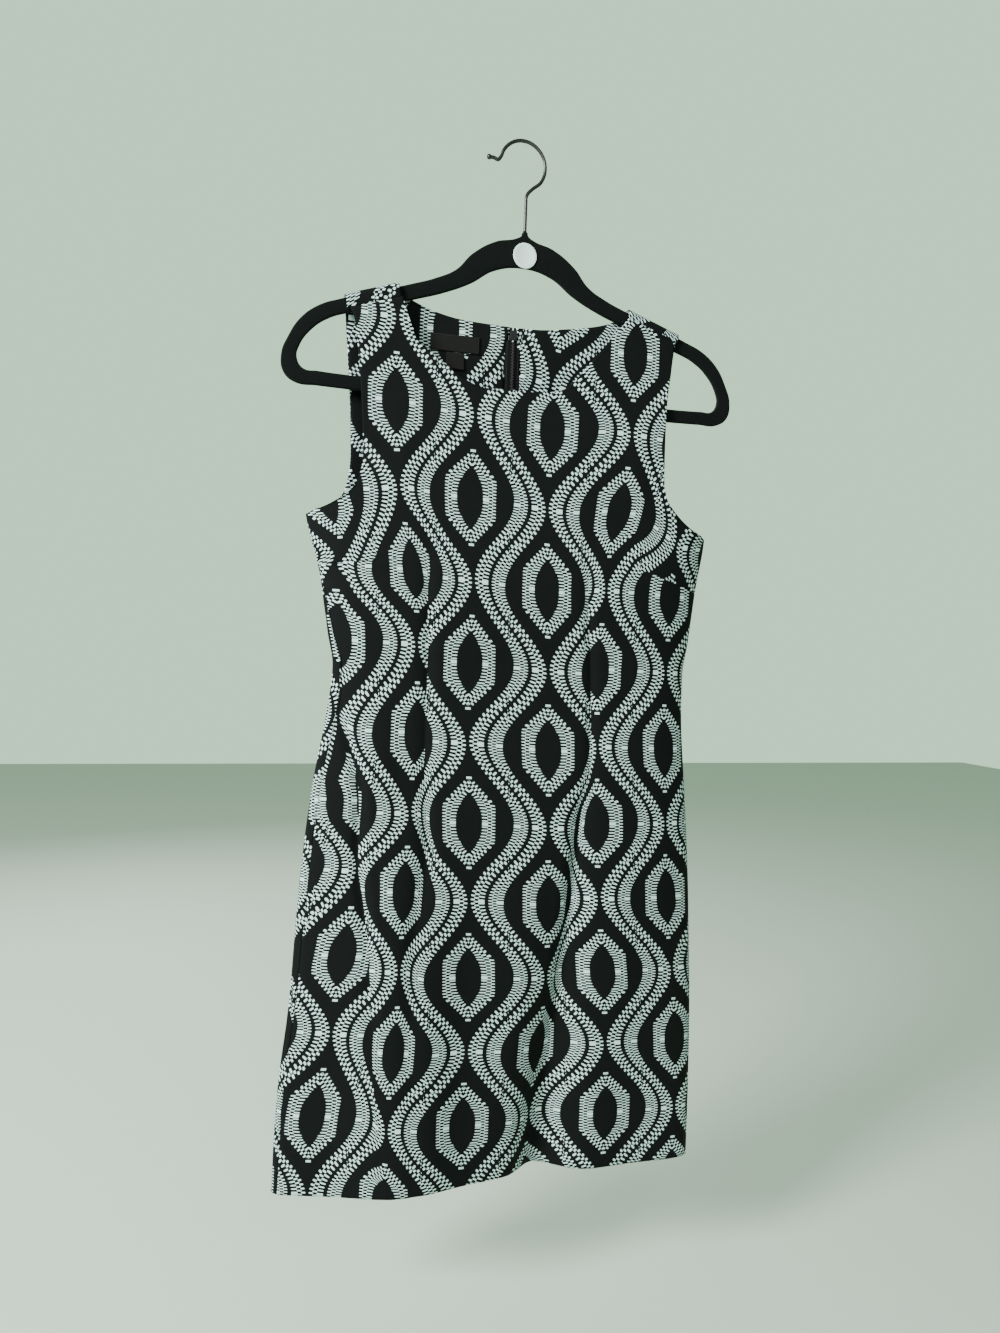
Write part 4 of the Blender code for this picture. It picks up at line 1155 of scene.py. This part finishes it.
teethTree = makeRepeatTree("Zip teeth", nylon, "GeometryNodeMeshCube")
stitchTree = makeRepeatTree("Stitches", thread, "GeometryNodeMeshCylinder",
                            {"Vertices": 6, "Radius": 0.5, "Depth": 1.0})


def innerPath(spots, inward):
    # A line of (x, drop) spots carried to the inside of the back.
    points = lift(1, spots)
    points[:, 1] -= inward
    return points


def buildZip():
    column = len(backStretches[0])
    top = rowCounts["skirt"] + rowCounts["yoke"] + 1
    first = int(np.argmin(np.abs(skirtDrops() - zipper["tapeEnd"])))
    for half in halves:
        back = backs[half] if half == "left" else backs[half][:, ::-1]
        strip = back[first:top, :column].copy()
        strip[:, -1] += unit(strip[:, -2] - strip[:, -1]) * zipper["tapeApart"]
        if half == "right":
            strip = strip[:, ::-1]
        spots = np.stack([strip[:, :, 0], -strip[:, :, 2]], axis=-1)
        name = "zipTape" + half.title()
        mesh = clothMesh(name, strip, spots, cloths["tapeWall"], inward=cloths["tapeInward"])
        addPiece(name, mesh, tapeCloth, "zip_tape_" + half)
    drops = np.linspace(*zipper["teethDrops"], 90)
    centre = section("centre", drops)

    def upright(away, inward):
        return innerPath(np.stack([centre + away, drops], axis=1), inward)

    repeatAlong("zipTeeth", [upright(0, zipper["teethInward"])], teethTree, nylon,
                zipper["tooth"])
    rows = [upright(toward * zipper["stitchAway"], zipper["stitchInward"])
            for toward in (-1, 1)]
    repeatAlong("zipStitches", rows, stitchTree, thread, zipper["stitch"])


labels = {
    "main": {"x": (-86.0, -38.5), "drop": (176.5, 192.0), "node": "main_label", "curl": 0.3},
    "size": {"x": (-70.0, -53.0), "drop": (192.4, 208.0), "node": "size_tab", "curl": 0.8},
    "inward": 2.95,
    "wall": 0.45,
    "hem": 1.2,
    "stitch": {"pitch": 2.0, "length": 1.3, "width": 0.28, "height": 0.28},
}


def buildLabels():
    stitches = []
    inset, behind = labels["hem"], labels["inward"] + labels["wall"] + 0.1
    for name in ("main", "size"):
        label = labels[name]
        (x1, x2), (top, low) = label["x"], label["drop"]
        xs, drops = np.linspace(x2, x1, 33), np.linspace(low, top, 13)
        flat = np.stack(np.meshgrid(xs, drops), axis=-1)
        grid = lift(1, flat)
        down = (flat[:, :, 1] - top) / (low - top)
        grid[:, :, 1] -= label["curl"] * down ** 3
        mesh = clothMesh(name + "Label", grid, flat, labels["wall"], inward=labels["inward"])
        piece = addPiece(name + "Label", mesh, labelCloth, label["node"])
        lines = [[(x, top + inset) for x in np.linspace(x1 + 1, x2 - 1, 30)]]
        if name == "main":
            lines = [[(x, drop) for drop in np.linspace(top + 1, low - 1, 8)]
                     for x in (x1 + inset, x2 - inset)] + lines
        stitches += [innerPath(np.array(line), behind) for line in lines]
    repeatAlong("labelStitches", stitches, stitchTree, thread, labels["stitch"])


buildZip()
buildLabels()
print("Zip and labels ready")


# The hanger, its hook and disc.

hanger = {
    "thick": 5.5,
    "gap": 0.3,               # between the hanger and its disc, and below the hook
    "round": 1.7,
    "outer": table(
        "x up", (2.3, 21.4), (2.9, 18.9), (8, 15.3), (28, 9.7), (50, -4), (65, -20), (84, -30),
        (106, -38), (169, -58.5), (190, -67), (206, -80), (216, -96), (222, -112),
        (219.5, -128), (209, -135.4), (190, -136.2), (100, -137.4)),
    "outerTop": 22.0,
    "outerMiddle": -138.6,
    "inner": table(
        "x up", (28, -16), (50, -30), (72, -40.3), (106, -52), (160, -69), (180, -76.5),
        (195, -87.5), (206, -103), (208.3, -114), (203, -122.6), (190, -123.8), (100, -125)),
    "innerTop": -10.5,
    "innerMiddle": -126.2,
    "disc": ((0, 0.62), (8.7, 0.62), (9.15, 0.76), (9.6, 0.80), (10.9, 0.80), (11.35, 0.66),
             (11.5, 0.4), (11.5, 0.15), (11.3, 0.0), (0, 0.0)),
    "wire": 1.65,
    "hookCentre": (-4.0, 19.8),
    "hookRadius": 21.8,
    "hookTurn": (-38.0, 166.0),
    "stemBend": ((0.0, 55.0), (0.0, 48.5), (1.6, 44.0), (6.4, 38.8)),
    "hookTip": ((-28.6, 18.2), (-32.0, 17.1), (-35.0, 17.0)),
    "tipBall": 1.45,
}


def mirrored(rows, lowMiddle, highMiddle):
    right = list(zip(rows["x"], rows["up"]))
    left = [(-x, up) for x, up in reversed(right)]
    return right + [(0.0, lowMiddle)] + left + [(0.0, highMiddle)]


def buildHanger():
    edge, half = hanger["round"] * mm, hanger["thick"] / 2
    curve = setAll(bpy.data.curves.new("hanger", "CURVE"), dimensions="2D", fill_mode="BOTH",
                   resolution_u=10, extrude=(half - hanger["round"]) * mm, bevel_depth=edge,
                   bevel_resolution=4, offset=-edge)
    for line in ("outer", "inner"):
        ring = mirrored(hanger[line], hanger[line + "Middle"], hanger[line + "Top"])
        spline = curve.splines.new("BEZIER")
        spline.use_cyclic_u = True
        spline.bezier_points.add(len(ring) - 1)
        for point, (x, up) in zip(spline.bezier_points, ring):
            point.co = (x * mm, up * mm, 0)
            point.handle_left_type = point.handle_right_type = "AUTO"
    obj = addObject("hanger", curve)
    obj.matrix_world = (Matrix.Translation((0, 0, -dress["hangerDisc"] * mm))
                        @ Matrix.Rotation(math.radians(90), 4, "X"))
    piece = addPiece("hanger", plainMesh(obj, weld=True), flock, "hanger_body")
    piece.data.set_sharp_from_angle(angle=math.radians(40))


def buildDisc():
    base = hanger["thick"] / 2 + hanger["gap"]
    edit = bmesh.new()
    rings = []
    for radius, out in hanger["disc"]:
        turns = np.linspace(0, 2 * math.pi, 64, endpoint=False) if radius else [0]
        rings.append([edit.verts.new(Vector((radius * math.cos(t), -base - out,
                                             radius * math.sin(t) - dress["hangerDisc"])) * mm)
                      for t in turns])
    for a, b in zip(rings, rings[1:]):
        for i in range(64):
            j = (i + 1) % 64
            corners = [a[i % len(a)], a[j % len(a)], b[j % len(b)], b[i % len(b)]]
            edit.faces.new(list(dict.fromkeys(corners)))
    mesh = finishMesh(edit, bpy.data.meshes.new("disc"))
    piece = addPiece("disc", mesh, discWhite, "hanger_disc")
    piece.data.set_sharp_from_angle(angle=math.radians(35))


def hookRoute():
    # Points in (x, drop, share of the wire's thickness), from the hanger to the hook's tip.
    foot = dress["hangerDisc"] - hanger["outerTop"] - hanger["gap"]
    centreX, centreDrop = hanger["hookCentre"]
    radius = hanger["hookRadius"]
    turns = np.radians(np.linspace(*hanger["hookTurn"], 18))
    bow = [(centreX + radius * math.cos(turn), centreDrop - radius * math.sin(turn))
           for turn in turns]
    places = np.array([(0.0, foot), *hanger["stemBend"], *bow, *hanger["hookTip"]])
    # A finer line through the same points.
    length = lengthAlong(*places.T)
    at = np.arange(0, length[-1], 0.9)
    route = [(x, drop, 1.0) for x, drop in zip(*(smoothValue(length, row, at)
                                                 for row in places.T))]
    x, drop = places[-1]
    route.append((x, drop, 1.0))
    ball = hanger["tipBall"] * hanger["wire"]
    for turn in np.radians(np.linspace(-46, 88, 14)):
        share = max(hanger["tipBall"] * math.cos(turn), 0.1)
        route.append((x - ball * (0.75 + math.sin(turn)), drop, share))
    return route


def buildHook():
    curve = setAll(bpy.data.curves.new("hook", "CURVE"), dimensions="3D", bevel_resolution=6,
                   bevel_depth=hanger["wire"] * mm, use_fill_caps=True)
    route = hookRoute()
    spline = addLine(curve, [(x, 0, -drop) for x, drop, _ in route])
    for point, (_, _, share) in zip(spline.points, route):
        point.radius = share
    mesh = plainMesh(addObject("hook", curve), weld=True)
    addPiece("hook", mesh, darkNickel, "hanger_hook")


buildHanger()
buildDisc()
buildHook()
for name in ("zip_slider", "zip_pull_tab"):
    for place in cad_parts[name].material_slots:
        place.link = "OBJECT"
        place.material = zipBlack
print("Hanger ready")


# Floor, light and camera.

studio = {
    "floorDrop": 1.16,
    "floorSize": 9.0,
    "floorColour": (0.50, 0.57, 0.50, 1),
    "sky": (0.60, 0.88, 0.63, 1),
    "skyFront": 0.22,     # strength of the sky before the dress
    "skyBehind": 1.25,
    "skyFade": (-0.35, 0.45),     # from front to back, as parts of a direction's y
    "lamps": (
        # place, size, power, aimed at
        ((-2.1, -1.1, 0.6), 0.8, 148, (0, 0, -0.45)),
        ((-0.3, -2.2, 0.4), 1.0, 23, (0, 0, -0.45)),
        ((-0.6, 1.9, 0.5), 1.3, 42, (0, 0, -0.4)),
    ),
    "cameraPlace": (-0.283, -0.939, -0.4586),
    "cameraTurns": (5.84, -16.38, 1.98),
    "lens": 27.007,
    "sensor": 36.0,
    "shiftY": 0.0566,
}


def buildStudio():
    half = studio["floorSize"] / 2
    mesh = bpy.data.meshes.new("floor")
    mesh.from_pydata([(x * half, y * half, -studio["floorDrop"])
                      for x, y in ((-1, -1), (1, -1), (1, 1), (-1, 1))], [], [(0, 1, 2, 3)])
    mat, tree, shader = newMaterial("Pale floor", 0.8)
    shader.inputs["Base Color"].default_value = studio["floorColour"]
    mesh.materials.append(mat)
    addObject("floor", mesh)
    for place, size, power, aim in studio["lamps"]:
        light = setAll(bpy.data.lights.new("softbox", "AREA"), shape="DISK", size=size,
                       energy=power)
        turn = (Vector(aim) - Vector(place)).to_track_quat("-Z", "Y").to_euler()
        setAll(addObject("softbox", light), location=place, rotation_euler=turn)
    world = bpy.data.worlds.new("Pale room")
    world.use_nodes = True
    tree = world.node_tree
    # The sky is faint before the dress and strong behind it.
    coords = tree.nodes.new("ShaderNodeTexCoord").outputs["Generated"]
    depth = addNode(tree, "ShaderNodeSeparateXYZ", {0: coords}).outputs[1]
    spans = (depth, *studio["skyFade"], studio["skyFront"], studio["skyBehind"])
    fade = addNode(tree, "ShaderNodeMapRange", enumerate(spans),
                   interpolation_type="SMOOTHSTEP").outputs[0]
    sky = tree.nodes["Background"]
    sky.inputs[0].default_value = studio["sky"]
    tree.links.new(fade, sky.inputs[1])
    bpy.context.scene.world = world


def turned(angle, first, second):
    matrix = np.eye(3)
    matrix[first, first] = matrix[second, second] = math.cos(angle)
    matrix[second, first] = math.sin(angle)
    matrix[first, second] = -math.sin(angle)
    return matrix


def placeCamera():
    pitch, yaw, roll = np.radians(studio["cameraTurns"])
    level = np.array([[1, 0, 0], [0, 0, -1], [0, 1, 0]])
    axes = turned(roll, 0, 1) @ turned(pitch, 1, 2) @ turned(yaw, 2, 0) @ level
    right, down, ahead = axes
    place = np.eye(4)
    place[:3] = np.column_stack([right, -down, -ahead, studio["cameraPlace"]])
    data = setAll(bpy.data.cameras.new("camera"), lens=studio["lens"],
                  sensor_width=studio["sensor"], shift_y=studio["shiftY"])
    camera = setAll(addObject("camera", data), matrix_world=Matrix(place.tolist()))
    bpy.context.scene.camera = camera


buildStudio()
placeCamera()
print("Studio ready")
